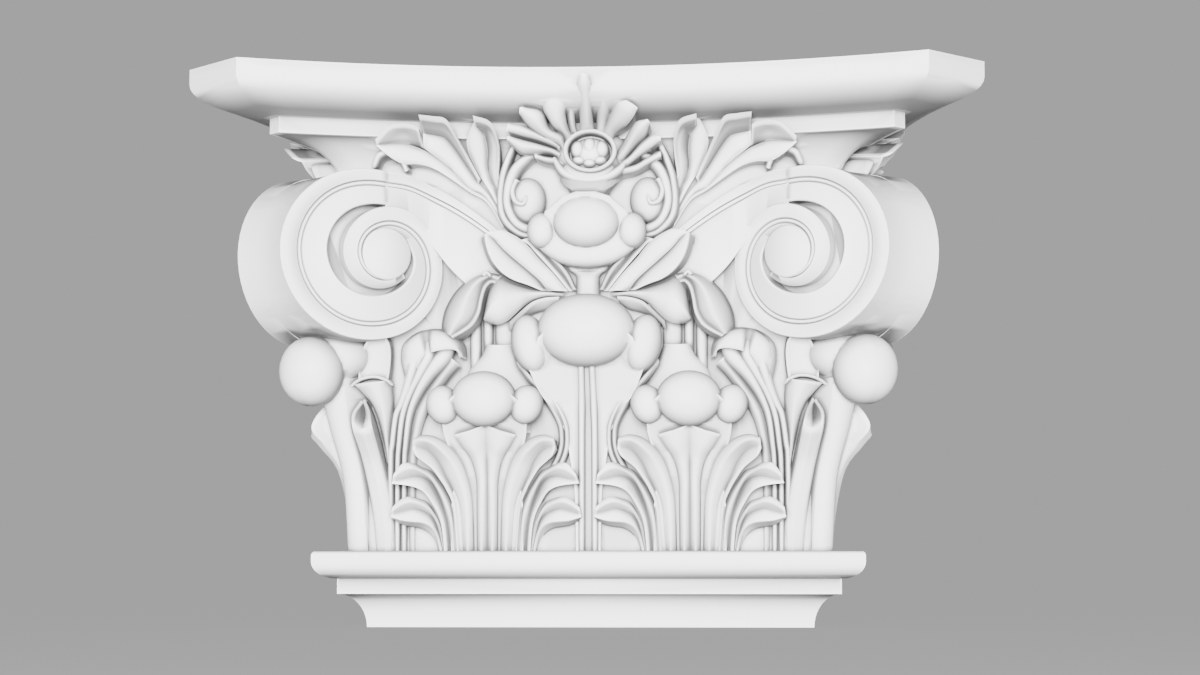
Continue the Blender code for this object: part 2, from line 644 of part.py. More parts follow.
def simplify(thing, share):
    """Merge the slivers that the joins leave and thin out the faces of the carving."""
    mesh = bmesh.new()
    mesh.from_mesh(thing.data)
    fill_pockets(mesh)
    bmesh.ops.dissolve_limit(mesh, angle_limit=FLAT_ANGLE, verts=mesh.verts, edges=mesh.edges)
    bmesh.ops.triangulate(mesh, faces=mesh.faces)
    mesh.to_mesh(thing.data)
    mesh.free()
    thin = thing.modifiers.new("thin", "DECIMATE")
    thin.ratio = share
    thin.use_symmetry = True
    thin.symmetry_axis = "X"
    apply_modifiers(thing)
    close_folds(thing)


def cut_back(thing):
    """Cut the object off flat on the plane through its axis, where it meets the wall."""
    reach = TOP_HORN[1] + BACK_MARGIN
    bpy.ops.mesh.primitive_cube_add(size=1.0, location=(0, reach * MM, TOTAL_HEIGHT / 2 * MM))
    cutter = bpy.context.object
    cutter.scale = (4 * reach * MM, 2 * reach * MM, 2 * TOTAL_HEIGHT * MM)
    cutter.name = "back_cutter"
    bpy.context.view_layer.update()
    cut = thing.modifiers.new("cut", "BOOLEAN")
    cut.operation = "DIFFERENCE"
    cut.object = cutter
    cut.solver = SOLVER
    apply_modifiers(thing)
    bpy.data.objects.remove(cutter, do_unlink=True)


def white_stone():
    """The capital's matt white finish."""
    material = bpy.data.materials.new("white_stone")
    material.use_nodes = True
    shader = material.node_tree.nodes["Principled BSDF"]
    shader.inputs["Base Color"].default_value = (0.82, 0.82, 0.81, 1.0)
    shader.inputs["Roughness"].default_value = 0.75
    shader.inputs["Metallic"].default_value = 0.0
    return material


def main():
    remove_everything()
    face = face_board()
    corner = corner_board()
    scroll = scroll_board()
    block = make_bell_and_abacus()
    pieces = [make_base(), make_bolster(scroll), make_scroll_stem(face)]
    pieces += make_scroll(scroll)
    pieces += make_corner_leaf(face, corner)
    pieces += make_caulicole(face)
    for make in (make_middle_leaf, make_drooping_leaves, make_upper_leaf, make_pointed_leaf, make_fleuron,
                 make_helix):
        pieces += make(face)
    unite(block, pieces)
    mirror_about(block, (1.0, 1.0, 0.0))
    unite(block, make_low_leaf(face) + make_plain_leaf(side_board()))
    mirror_about(block, (-1.0, 0.0, 0.0))
    simplify(block, KEPT_FACES)
    cut_back(block)
    block.data.transform(Matrix.Translation((0, TOP_HORN[1] / 2 * MM, 0)))
    block.name = "capital"
    block.data.name = "capital"
    block.data.materials.clear()
    block.data.materials.append(white_stone())
    group = bpy.data.collections.new("column_capital")
    bpy.context.scene.collection.children.link(group)
    bpy.context.scene.collection.objects.unlink(block)
    group.objects.link(block)


main()
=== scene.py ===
"""Half-depth column capital in matt white stone: its carved surface, its stage and its light.

The carving is drawn in millimetres: across from the middle of a face, up from the underside and
out from the axis of the shaft. One eighth of the square capital is carved and mirrored round the
axis. The front alone has the low acanthus leaves, and the sides have a plain leaf in their place.
The back half is cut off flat, where the block meets its wall.
"""
import json
import math

import bmesh
import bpy
from bpy.props import FloatProperty, FloatVectorProperty, IntProperty, PointerProperty
from mathutils import Matrix, Vector

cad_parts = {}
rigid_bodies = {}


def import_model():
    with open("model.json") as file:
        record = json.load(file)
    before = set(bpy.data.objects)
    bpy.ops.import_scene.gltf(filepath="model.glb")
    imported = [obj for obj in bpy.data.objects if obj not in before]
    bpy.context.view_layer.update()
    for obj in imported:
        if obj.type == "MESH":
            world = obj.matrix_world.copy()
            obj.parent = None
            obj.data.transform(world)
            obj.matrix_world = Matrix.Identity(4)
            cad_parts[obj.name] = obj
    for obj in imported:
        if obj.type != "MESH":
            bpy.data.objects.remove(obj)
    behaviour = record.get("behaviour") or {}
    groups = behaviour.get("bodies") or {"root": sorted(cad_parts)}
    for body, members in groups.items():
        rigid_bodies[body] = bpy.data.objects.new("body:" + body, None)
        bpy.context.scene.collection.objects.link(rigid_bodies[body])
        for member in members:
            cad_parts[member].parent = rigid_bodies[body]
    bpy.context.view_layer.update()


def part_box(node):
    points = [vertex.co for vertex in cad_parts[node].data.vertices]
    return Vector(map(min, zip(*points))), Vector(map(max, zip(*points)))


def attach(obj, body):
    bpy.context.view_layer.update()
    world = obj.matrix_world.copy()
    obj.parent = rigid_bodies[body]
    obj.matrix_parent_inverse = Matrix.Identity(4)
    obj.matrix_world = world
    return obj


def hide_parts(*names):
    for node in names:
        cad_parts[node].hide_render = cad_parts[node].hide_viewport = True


bl_info = {
    "name": "Column capital",
    "version": (1, 0, 0),
    "blender": (4, 5, 0),
    "location": "View3D > Sidebar > Capital",
    "description": "Carves a half-depth column capital around its packed solid",
    "category": "Object",
}

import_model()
CAD_LOW, CAD_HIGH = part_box("capital")

# The drawing's own height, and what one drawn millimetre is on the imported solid
DRAWN_HEIGHT = 366.8
MM = (CAD_HIGH.z - CAD_LOW.z) / DRAWN_HEIGHT
UP = Vector((0.0, 0.0, 1.0))
ROOT_TWO = math.sqrt(2.0)
CARVING = "carving"
STEEPNESS = "steepness"

# How far out the backs of the lobes lie, inside the bell, and how wide they are for a lobe
BACK = 152.0
BACK_SHARE = 0.7

# Angles, in degrees, at which the blunt end of a lobe is rounded off
BLUNT_ANGLES = (35.0, 62.0, 80.0)

# Base moulding, drawn from the shaft upwards
SHAFT_HALF = 150.0
COVE_HEIGHT = 22.4
COVE_OUT = 17.7
FILLET_HEIGHT = 10.0
ROUND_OUT = 15.2
ROUND_HEIGHT = 18.4
ROUND_EDGE = 3.3
BASE_TOP = COVE_HEIGHT + FILLET_HEIGHT + ROUND_HEIGHT

# Bell and abacus
BELL_HALF = 160.0
BELL_SINK = 6.0
BELL_CHAMFER = 4.0
BELL_FLARE = 4.0
FLARE_FOOT = 200.0
FLARE_TOP = 285.0
COVE_FOOT = 296.0
BAND_FOOT = 326.8
TOP_HORN = (221.6, 260.6)
TOP_MIDDLE = 218.3
LOW_HORN = (202.9, 210.2)
LOW_MIDDLE = 175.0
LOW_BAND = 10.6
OVOLO_HEIGHT = 19.7

# Corner scrolls: radii at each quarter turn from the top, inwards
SCROLL_TURN = math.radians(32.0)
SCROLL_EYE = (134.0, 190.0, 247.5)
SCROLL_OUTER = (55.5, 75.6, 56.5, 40.3, 32.0, 28.2, 22.6, 19.5)
SCROLL_GROOVE = (46.5, 62.0, 45.8, 29.5, 20.5, 19.0, 16.5, 14.0)
SCROLL_INNER = (33.0, 42.4, 27.0, 19.5, 11.0, 10.0, 9.0, 8.0)
SCROLL_TURNS = 1.62
EYE_RADIUS = 17.5
EYE_EDGE = 2.4
EYE_FRONT = 3.4

# Scroll band: the lift of its back and front, and where, in quarter turns, and how far its edge slopes
SCROLL_FLOOR = -12.0
SCROLL_FRONT = 2.5
SLOPE_FROM = 3.7
SLOPE_LENGTH = 3.3
SLOPE_DEPTH = 7.5
FULL_BAND = 9.0

# Low leaf: where its middle rib stands
LEAF_MIDDLE = 67.7

# Flower: the middle and half sizes of its cup
CUP_MIDDLE = (3.1, 313.7)
CUP_HALF = (17.3, 14.0)

# Stone: from where to where each painted shade and the painted ridge highlight grow, and how strong the
# painted shade and the random cloudy tone get
CREASE_SHADE_BETWEEN = (0.08, 0.62)
HOLLOW_SHADE_BETWEEN = (0.15, 0.9)
RIDGE_HIGHLIGHT_BETWEEN = (0.12, 0.6)
STEEP_SHADE_BETWEEN = (0.16, 0.78)
CREASE_SHADE_STRENGTH = 0.92
HOLLOW_SHADE_STRENGTH = 0.42
CLOUD_STRENGTH = 0.05
CLOUD_TINT = (0.70, 0.70, 0.69)

# Steepness: how far past the diagonal a side still counts, and how wide the corner between is, in metres
SIDE_MARGIN = 0.02
CORNER_MARGIN = 0.06

# Stage, in metres: the floor, the sweep at its far edge and the backdrop above
FLOOR_WIDTH = 40.0
FLOOR_DEPTH = 16.0
SWEEP_RADIUS = 3.0
BACKDROP_TOP = 16.0

# Light: where the panel stands from the camera, its size in metres and its power in watts
PANEL_OFFSET = Vector((-0.06, -0.1, 0.16))
PANEL_SIZE = 0.5
PANEL_POWER = 165.0

# Camera: the photograph's viewing direction in radians, distances in metres and size in pixels
CAMERA_TURN = 0.0519
CAMERA_DIP = -0.095
CAMERA_DISTANCE = 1.7975
CAMERA_AIM_HEIGHT = 0.2092
CAMERA_PIXELS = 2431.4
PHOTO_WIDTH = 1200.0
CAMERA_SHIFT = -1.2 / PHOTO_WIDTH
SENSOR_WIDTH = 36.0


class CapitalSizes(bpy.types.PropertyGroup):
    """How finely the carving is cut."""

    along_steps: IntProperty(name="Steps along", description="Cuts between two drawn points of a lobe",
                             default=5, min=2, max=12)
    across_steps: IntProperty(name="Steps across", description="Cuts across a lobe", default=10, min=4,
                              max=24)
    blade_steps: IntProperty(name="Blade steps", description="Cuts between two drawn lines of a blade",
                             default=4, min=2, max=10)
    ball_segments: IntProperty(name="Ball segments", description="Faces round a ball", default=32, min=12,
                               max=64)
    turn_steps: IntProperty(name="Scroll steps", description="Cuts in one turn of a scroll", default=72,
                            min=24, max=128)
    smooth_angle: FloatProperty(name="Smoothing angle", description="Edges sharper than this stay crisp",
                                default=math.radians(42.0), subtype="ANGLE")


class CapitalColours(bpy.types.PropertyGroup):
    """The white stone with its painted shade and painted highlight, and the grey of the stage."""

    stone: FloatVectorProperty(name="Stone", description="Colour of the open faces", subtype="COLOR",
                               size=3, default=(0.86, 0.86, 0.855))
    # Painted shade: the dark colour painted into tight corners, creases and hollows
    crease: FloatVectorProperty(name="Crease", description="Colour in the tight corners", subtype="COLOR",
                                size=3, default=(0.08, 0.08, 0.08))
    # Painted shade: the dark colour painted on faces that turn steeply away from their side's outward
    # direction
    side: FloatVectorProperty(name="Sides",
                              description="Colour of the steep faces that are not rubbed clean",
                              subtype="COLOR", size=3, default=(0.12, 0.12, 0.12))
    # Painted highlight: the light colour painted along convex edges and ridges
    ridge: FloatVectorProperty(name="Ridge", description="Colour on the rubbed edges", subtype="COLOR",
                               size=3, default=(0.95, 0.95, 0.945))
    roughness: FloatProperty(name="Roughness", description="How matt the stone is", default=0.62, min=0.0,
                             max=1.0)
    # How far the painted crease shade, the painted hollow shade and the painted ridge highlight reach
    crease_shade_reach: FloatProperty(name="Crease reach", description="How far a corner darkens the stone",
                                default=0.004, unit="LENGTH")
    hollow_shade_reach: FloatProperty(name="Hollow reach", description="How far a hollow darkens the stone",
                                default=0.02, unit="LENGTH")
    ridge_highlight_reach: FloatProperty(name="Ridge reach", description="How wide a rubbed edge is",
                               default=0.0022, unit="LENGTH")
    surround: FloatVectorProperty(name="Surround", description="Dim light of the studio round the object",
                                  subtype="COLOR", size=3, default=(0.07, 0.07, 0.07))
    floor: FloatVectorProperty(name="Floor", description="Colour of the floor", subtype="COLOR",
                               size=3, default=(0.02, 0.02, 0.02))
    floor_glow: FloatProperty(name="Floor glow", description="Light of its own that evens the floor out",
                              default=0.425, min=0.0)


class Board:
    """A drawing board for carving: across, up and outwards from an origin, in millimetres."""

    def __init__(self, across, outward, origin=(0.0, 0.0, 0.0), back=BACK):
        self.across = Vector(across).normalized()
        self.outward = Vector(outward).normalized()
        self.origin = Vector(origin)
        self.back = back

    def point(self, across, height, depth):
        """The place, in metres from the axis, of a point drawn on this board."""
        return (self.origin + self.across * across + self.outward * depth + UP * height) * MM


FACE = Board((1, 0, 0), (0, -1, 0))
SIDE = Board((0, -1, 0), (1, 0, 0))
CORNER = Board((-1, -1, 0), (1, -1, 0), back=BACK * ROOT_TWO)
SCROLL = Board((math.cos(SCROLL_TURN), -math.sin(SCROLL_TURN), 0),
               (-math.sin(SCROLL_TURN), -math.cos(SCROLL_TURN), 0),
               (SCROLL_EYE[0], -SCROLL_EYE[1], SCROLL_EYE[2]))


def curve_value(p, q, r, s, t):
    """A value on the smooth curve between q and r, where p and s are their neighbours."""
    return 0.5 * (2 * q + (r - p) * t + (2 * p - 5 * q + 4 * r - s) * t ** 2
                  + (3 * q - p - 3 * r + s) * t ** 3)


def smooth_rows(rows, steps):
    """Rows of numbers on a smooth curve through the given rows, with steps between each two."""
    first = [2 * a - b for a, b in zip(rows[0], rows[1])]
    last = [2 * a - b for a, b in zip(rows[-1], rows[-2])]
    ends = [first] + [list(row) for row in rows] + [last]
    result = []
    for step in range(steps * (len(rows) - 1) + 1):
        index = min(step // steps, len(rows) - 2)
        t = step / steps - index
        result.append([curve_value(*values, t) for values in zip(*ends[index:index + 4])])
    return result


def table_value(table, position):
    """A value read from a smooth curve through an evenly spaced table."""
    position = min(max(position, 0.0), len(table) - 1.0)
    index = min(int(position), len(table) - 2)
    before = table[max(index - 1, 0)]
    after = table[min(index + 2, len(table) - 1)]
    return curve_value(before, table[index], table[index + 1], after, position - index)


def deselect_all():
    """Leave nothing selected, so that the next operator acts on its own piece alone."""
    for thing in bpy.context.selected_objects:
        thing.select_set(False)


def select_only(thing):
    """Select one object and make it the active one."""
    deselect_all()
    thing.select_set(True)
    bpy.context.view_layer.objects.active = thing


def carving_collection():
    """The collection that holds the cut pieces until they are united."""
    group = bpy.data.collections.get(CARVING)
    if group is None:
        group = bpy.data.collections.new(CARVING)
        bpy.context.scene.collection.children.link(group)
    return group


def move_to_carving(thing):
    """Take an object that an operator made into the collection of the carving."""
    for group in thing.users_collection:
        group.objects.unlink(thing)
    carving_collection().objects.link(thing)


def object_from(name, mesh):
    """Turn a closed bmesh into an object of the carving, with its faces pointing out."""
    mesh.normal_update()
    bmesh.ops.recalc_face_normals(mesh, faces=mesh.faces)
    if mesh.calc_volume(signed=True) < 0:
        bmesh.ops.reverse_faces(mesh, faces=mesh.faces)
    data = bpy.data.meshes.new(name)
    mesh.to_mesh(data)
    mesh.free()
    thing = bpy.data.objects.new(name, data)
    carving_collection().objects.link(thing)
    return thing


def loft(name, rings):
    """A closed object through rings of points, each with as many points."""
    mesh = bmesh.new()
    levels = [[mesh.verts.new(point) for point in ring] for ring in rings]
    size = len(levels[0])
    for low, high in zip(levels, levels[1:]):
        for k in range(size):
            n = (k + 1) % size
            mesh.faces.new((low[k], low[n], high[n], high[k]))
    mesh.faces.new(levels[0])
    mesh.faces.new(levels[-1])
    return object_from(name, mesh)


def rounded(share):
    """A plain rounded section: 0 at its edges, 1 on its crown."""
    return (1.0 - abs(share) ** 2.4) ** 0.75


def fluted(share):
    """Two rounded ridges with a groove between them."""
    return rounded(share) * (1.0 - 0.62 * math.exp(-(share / 0.2) ** 2))


def hollow(share):
    """A blade that is dished between its raised edges."""
    return 0.35 + 0.65 * abs(share) ** 1.6


def strand(board, name, rows, section=rounded, blunt=True):
    """A lobe, rib or stem in relief, whose narrower back reaches into the bell.

    Its rows are (across, height, depth, half width, rise), drawn on the board.
    """
    stations = smooth_rows(rows, bpy.context.scene.capital_sizes.along_steps)
    centres = [board.point(*station[:3]) for station in stations]
    rings = []
    for index, (_, _, _, half, rise) in enumerate(stations):
        before = centres[max(index - 1, 0)]
        after = centres[min(index + 1, len(centres) - 1)]
        along = (after - before).normalized()
        flat = along - board.outward * along.dot(board.outward)
        side = flat.normalized().cross(board.outward).normalized()
        out = side.cross(along).normalized()
        if out.dot(board.outward) < 0:
            out = -out
        rings.append(strand_ring(board, centres[index], side, out, half, rise, section))
    if blunt:
        for angle in BLUNT_ANGLES:
            shrink = math.cos(math.radians(angle))
            centre = centres[-1] + along * half * MM * math.sin(math.radians(angle))
            rings.append(strand_ring(board, centre, side, out, half * shrink, rise * shrink, section))
    return loft(name, rings)


def strand_ring(board, centre, side, out, half, rise, section):
    """One cut through a strand: its front, then the two corners of its back."""
    steps = bpy.context.scene.capital_sizes.across_steps
    ring = []
    for step in range(steps + 1):
        place = -math.cos(math.pi * step / steps)
        ring.append(centre + (side * place * half + out * rise * max(section(place), 0.0)) * MM)
    back = centre - board.outward * ((centre - board.origin * MM).dot(board.outward) - board.back * MM)
    ring.append(back + side * half * BACK_SHARE * MM)
    ring.append(back - side * half * BACK_SHARE * MM)
    return ring


def relief(name, rails, swells, board=FACE, tuck=0.8):
    """A blade carved between rails, which are lines of (across, height, depth) along its edges and folds.

    Between two rails the surface swells out by a share of its width; its back is drawn in by the tuck.
    """
    steps = bpy.context.scene.capital_sizes.blade_steps
    lines = [smooth_rows(rail, steps) for rail in rails]
    rings = []
    for stations in zip(*lines):
        ring = []
        for first, second, swell in zip(stations, stations[1:], swells):
            width = math.dist(first, second)
            for step in range(steps):
                t = step / steps
                across, height, depth = (a + (b - a) * t for a, b in zip(first, second))
                ring.append(board.point(across, height, depth + swell * width * math.sin(math.pi * t)))
        ring.append(board.point(*stations[-1]))
        middle = [(a + b) / 2 for a, b in zip(stations[0], stations[-1])]
        for end in (stations[-1], stations[0]):
            across, height = (m + (e - m) * tuck for m, e in zip(middle[:2], end[:2]))
            ring.append(board.point(across, height, board.back))
        rings.append(ring)
    return loft(name, rings)


def ball(board, name, centre, radii, tilt=0.0, free=False):
    """An egg-shaped ball: centre (across, height, depth), radii (across, height, depth).

    Unless it is free, its back half is drawn out until it meets the bell.
    """
    segments = bpy.context.scene.capital_sizes.ball_segments
    deselect_all()
    bpy.ops.mesh.primitive_uv_sphere_add(segments=segments, ring_count=segments // 2, radius=1.0)
    thing = bpy.context.object
    thing.name = name
    axes = Matrix((board.across, board.outward, UP)).transposed()
    lean = Matrix.Rotation(tilt, 3, "Y")
    for vert in thing.data.vertices:
        out = vert.co.y * radii[2]
        if out < 0 and not free:
            out = vert.co.y * (centre[2] - board.back)
        local = lean @ Vector((vert.co.x * radii[0], out, vert.co.z * radii[1]))
        vert.co = board.point(*centre) + axes @ local * MM
    if axes.determinant() < 0:
        thing.data.flip_normals()
    move_to_carving(thing)
    return thing


def plan_outline(horn, middle, height, steps=24):
    """One level of the block: four concave sides and four cut corners, as points."""
    half, depth = horn
    side = []
    for step in range(steps + 1):
        across = half * (2.0 * step / steps - 1.0)
        side.append((across, middle + (depth - middle) * (across / half) ** 2))
    points = []
    for quarter in range(4):
        turn = Matrix.Rotation(quarter * math.pi / 2, 3, "Z")
        points += [turn @ Vector((across, -out, height)) * MM for across, out in side]
    return points


def make_bell_and_abacus(cove_steps=10):
    """The plain block: bell, cove, low band, ovolo and top band."""
    foot = BELL_HALF - BELL_CHAMFER
    head = BELL_HALF + BELL_FLARE
    rings = [plan_outline((foot, foot + 1), BELL_HALF, BASE_TOP - BELL_SINK)]
    rings.append(plan_outline((foot, foot + 1), BELL_HALF, BASE_TOP))
    rings.append(plan_outline((foot, foot + 1), BELL_HALF - 1, FLARE_FOOT))
    rings.append(plan_outline((head, head + 1), head - 1, FLARE_TOP))
    for step in range(cove_steps + 1):
        turn = math.pi / 2 * step / cove_steps
        out = 1.0 - math.cos(turn)
        level = COVE_FOOT + (BAND_FOOT - COVE_FOOT) * math.sin(turn)
        edge = tuple(a + (b - a) * out for a, b in zip((head + 2, head + 4), LOW_HORN))
        rings.append(plan_outline(edge, head + (LOW_MIDDLE - head) * out, level))
    band_top = BAND_FOOT + LOW_BAND
    rings.append(plan_outline(LOW_HORN, LOW_MIDDLE, band_top))
    for step in range(1, cove_steps + 1):
        turn = math.pi / 2 * step / cove_steps
        out = math.sin(turn)
        level = band_top + OVOLO_HEIGHT * (1.0 - math.cos(turn))
        horn = tuple(a + (b - a) * out for a, b in zip(LOW_HORN, TOP_HORN))
        rings.append(plan_outline(horn, LOW_MIDDLE + (TOP_MIDDLE - LOW_MIDDLE) * out, level))
    rings.append(plan_outline(TOP_HORN, TOP_MIDDLE, DRAWN_HEIGHT))
    return loft("block", rings)


def base_profile(cove_steps=10):
    """Half width and height of each edge of the base moulding, from the shaft upwards."""
    profile = []
    for step in range(cove_steps + 1):
        turn = math.pi / 2 * step / cove_steps
        profile.append((SHAFT_HALF + COVE_OUT * (1.0 - math.cos(turn)), COVE_HEIGHT * math.sin(turn)))
    fillet_half = SHAFT_HALF + COVE_OUT
    fillet_top = COVE_HEIGHT + FILLET_HEIGHT
    under = (ROUND_HEIGHT - ROUND_EDGE) * 0.75
    for step in range(cove_steps + 1):
        turn = math.pi / 2 * step / cove_steps
        level = fillet_top + under * (1.0 - math.cos(turn))
        profile.append((fillet_half + ROUND_OUT * math.sin(turn), level))
    for step in range(cove_steps + 1):
        turn = math.pi / 2 * step / cove_steps
        half = fillet_half + ROUND_OUT - ROUND_EDGE * (1.0 - math.cos(turn))
        profile.append((half, BASE_TOP - ROUND_EDGE * (1.0 - math.sin(turn))))
    return profile


def make_base():
    """The square base moulding, drawn up from a square, edge after edge."""
    profile = base_profile()
    deselect_all()
    bpy.ops.mesh.primitive_plane_add(size=2 * profile[0][0] * MM, location=(0, 0, 0))
    thing = bpy.context.object
    thing.name = "base"
    bpy.ops.object.mode_set(mode="EDIT")
    for (half, level), (next_half, next_level) in zip(profile, profile[1:]):
        bpy.ops.mesh.extrude_region_move(
            TRANSFORM_OT_translate={"value": (0, 0, (next_level - level) * MM)})
        grow = next_half / half
        bpy.ops.transform.resize(value=(grow, grow, 1.0), center_override=(0, 0, next_level * MM))
    bpy.ops.mesh.select_all(action="SELECT")
    bpy.ops.mesh.normals_make_consistent(inside=False)
    bpy.ops.object.mode_set(mode="OBJECT")
    move_to_carving(thing)
    return thing


def spiral(angle, radius, lift):
    """A point of the scroll: angle from the top, outwards first, in quarter turns."""
    turn = angle * math.pi / 2
    return SCROLL.point(math.sin(turn) * radius, math.cos(turn) * radius, lift)


def make_scroll():
    """The raised spiral band of a scroll with its double groove, and its flat eye."""
    rings = []
    steps = round(SCROLL_TURNS * bpy.context.scene.capital_sizes.turn_steps)
    for step in range(steps + 1):
        angle = 4.0 * SCROLL_TURNS * step / steps
        outer = table_value(SCROLL_OUTER, angle)
        groove = table_value(SCROLL_GROOVE, angle)
        inner = table_value(SCROLL_INNER, angle)
        slope = math.sin(math.pi * min(max((angle - SLOPE_FROM) / SLOPE_LENGTH, 0.0), 1.0)) ** 2
        edge = SCROLL_FRONT - SLOPE_DEPTH * slope
        fine = min((outer - groove) / FULL_BAND, 1.0)
        section = ((outer, SCROLL_FLOOR - 4), (outer, edge - 0.5), (outer - 0.5, edge),
                   (groove + 2.4 * fine, SCROLL_FRONT), (groove + 1.5 * fine, 0.7),
                   (groove + 0.7 * fine, 2.1), (groove - 0.5 * fine, 2.1), (groove - 1.3 * fine, 0.5),
                   (groove - 2.2 * fine, 1.5), (inner + 2.0 * fine, 1.5), (inner + 1.0 * fine, 2.2),
                   (inner, 1.4), (inner, SCROLL_FLOOR - 4))
        rings.append([spiral(angle, radius, lift) for radius, lift in section])
    loft("scroll_band", rings)
    eye = []
    count = bpy.context.scene.capital_sizes.turn_steps
    for lift, radius in ((SCROLL_FLOOR - 4, EYE_RADIUS), (EYE_EDGE, EYE_RADIUS),
                         (EYE_FRONT, EYE_RADIUS - 1.2)):
        eye.append([spiral(4 * k / count, radius, lift) for k in range(count)])
    loft("scroll_eye", eye)


def make_bolster():
    """The thick body between the front scroll and the side scroll of the corner."""
    front = []
    count = bpy.context.scene.capital_sizes.turn_steps
    for step in range(count):
        angle = 4.0 * step / count
        radius = table_value(SCROLL_OUTER, min(angle, 3.0))
        front.append(spiral(angle, radius - 0.6, SCROLL_FLOOR))
    side = [Vector((-point.y, -point.x, point.z)) for point in front]
    return loft("bolster", [front, side])


def make_scroll_stem():
    """The flat stem that leaves the top of the scroll and runs down to the middle of the face."""
    edge = ((134, 303, 190), (122, 302, 182.5), (109, 297, 175), (92, 288.5, 170), (73, 275.5, 168),
            (55, 260.5, 167), (40, 247, 166))
    groove = ((134, 294, 190), (119, 292.5, 181), (104, 286.5, 173.5), (86.5, 277.5, 169.5), (68, 265, 168),
              (50.5, 250.5, 167), (36, 237, 166))
    low = ((134, 279, 190), (116, 270, 180), (104, 254, 173), (92, 239, 170), (78, 226, 168),
           (60, 212, 167), (44, 198, 166))
    profile = ((-1, -9.0), (-1, 2.0), (-0.99, 2.5), (-0.27, 2.5), (-0.17, 0.7), (-0.08, 2.1), (0.03, 2.1),
               (0.045, 0.5), (0.075, 1.5), (0.985, 1.5), (1, 1.0), (1, -9.0))
    rings = []
    for outer, middle, inner in zip(*(smooth_rows(line, 6) for line in (edge, groove, low))):
        ring = []
        for share, lift in profile:
            far = outer if share < 0 else inner
            across, height, depth = (a + (b - a) * abs(share) for a, b in zip(middle, far))
            ring.append(FACE.point(across, height, depth + lift))
        rings.append(ring)
    return loft("scroll_stem", rings)


def from_leaf_middle(side, rail):
    """A line drawn from the low leaf's middle, on one of its two sides."""
    return tuple((LEAF_MIDDLE + side * across, height, depth) for across, height, depth in rail)


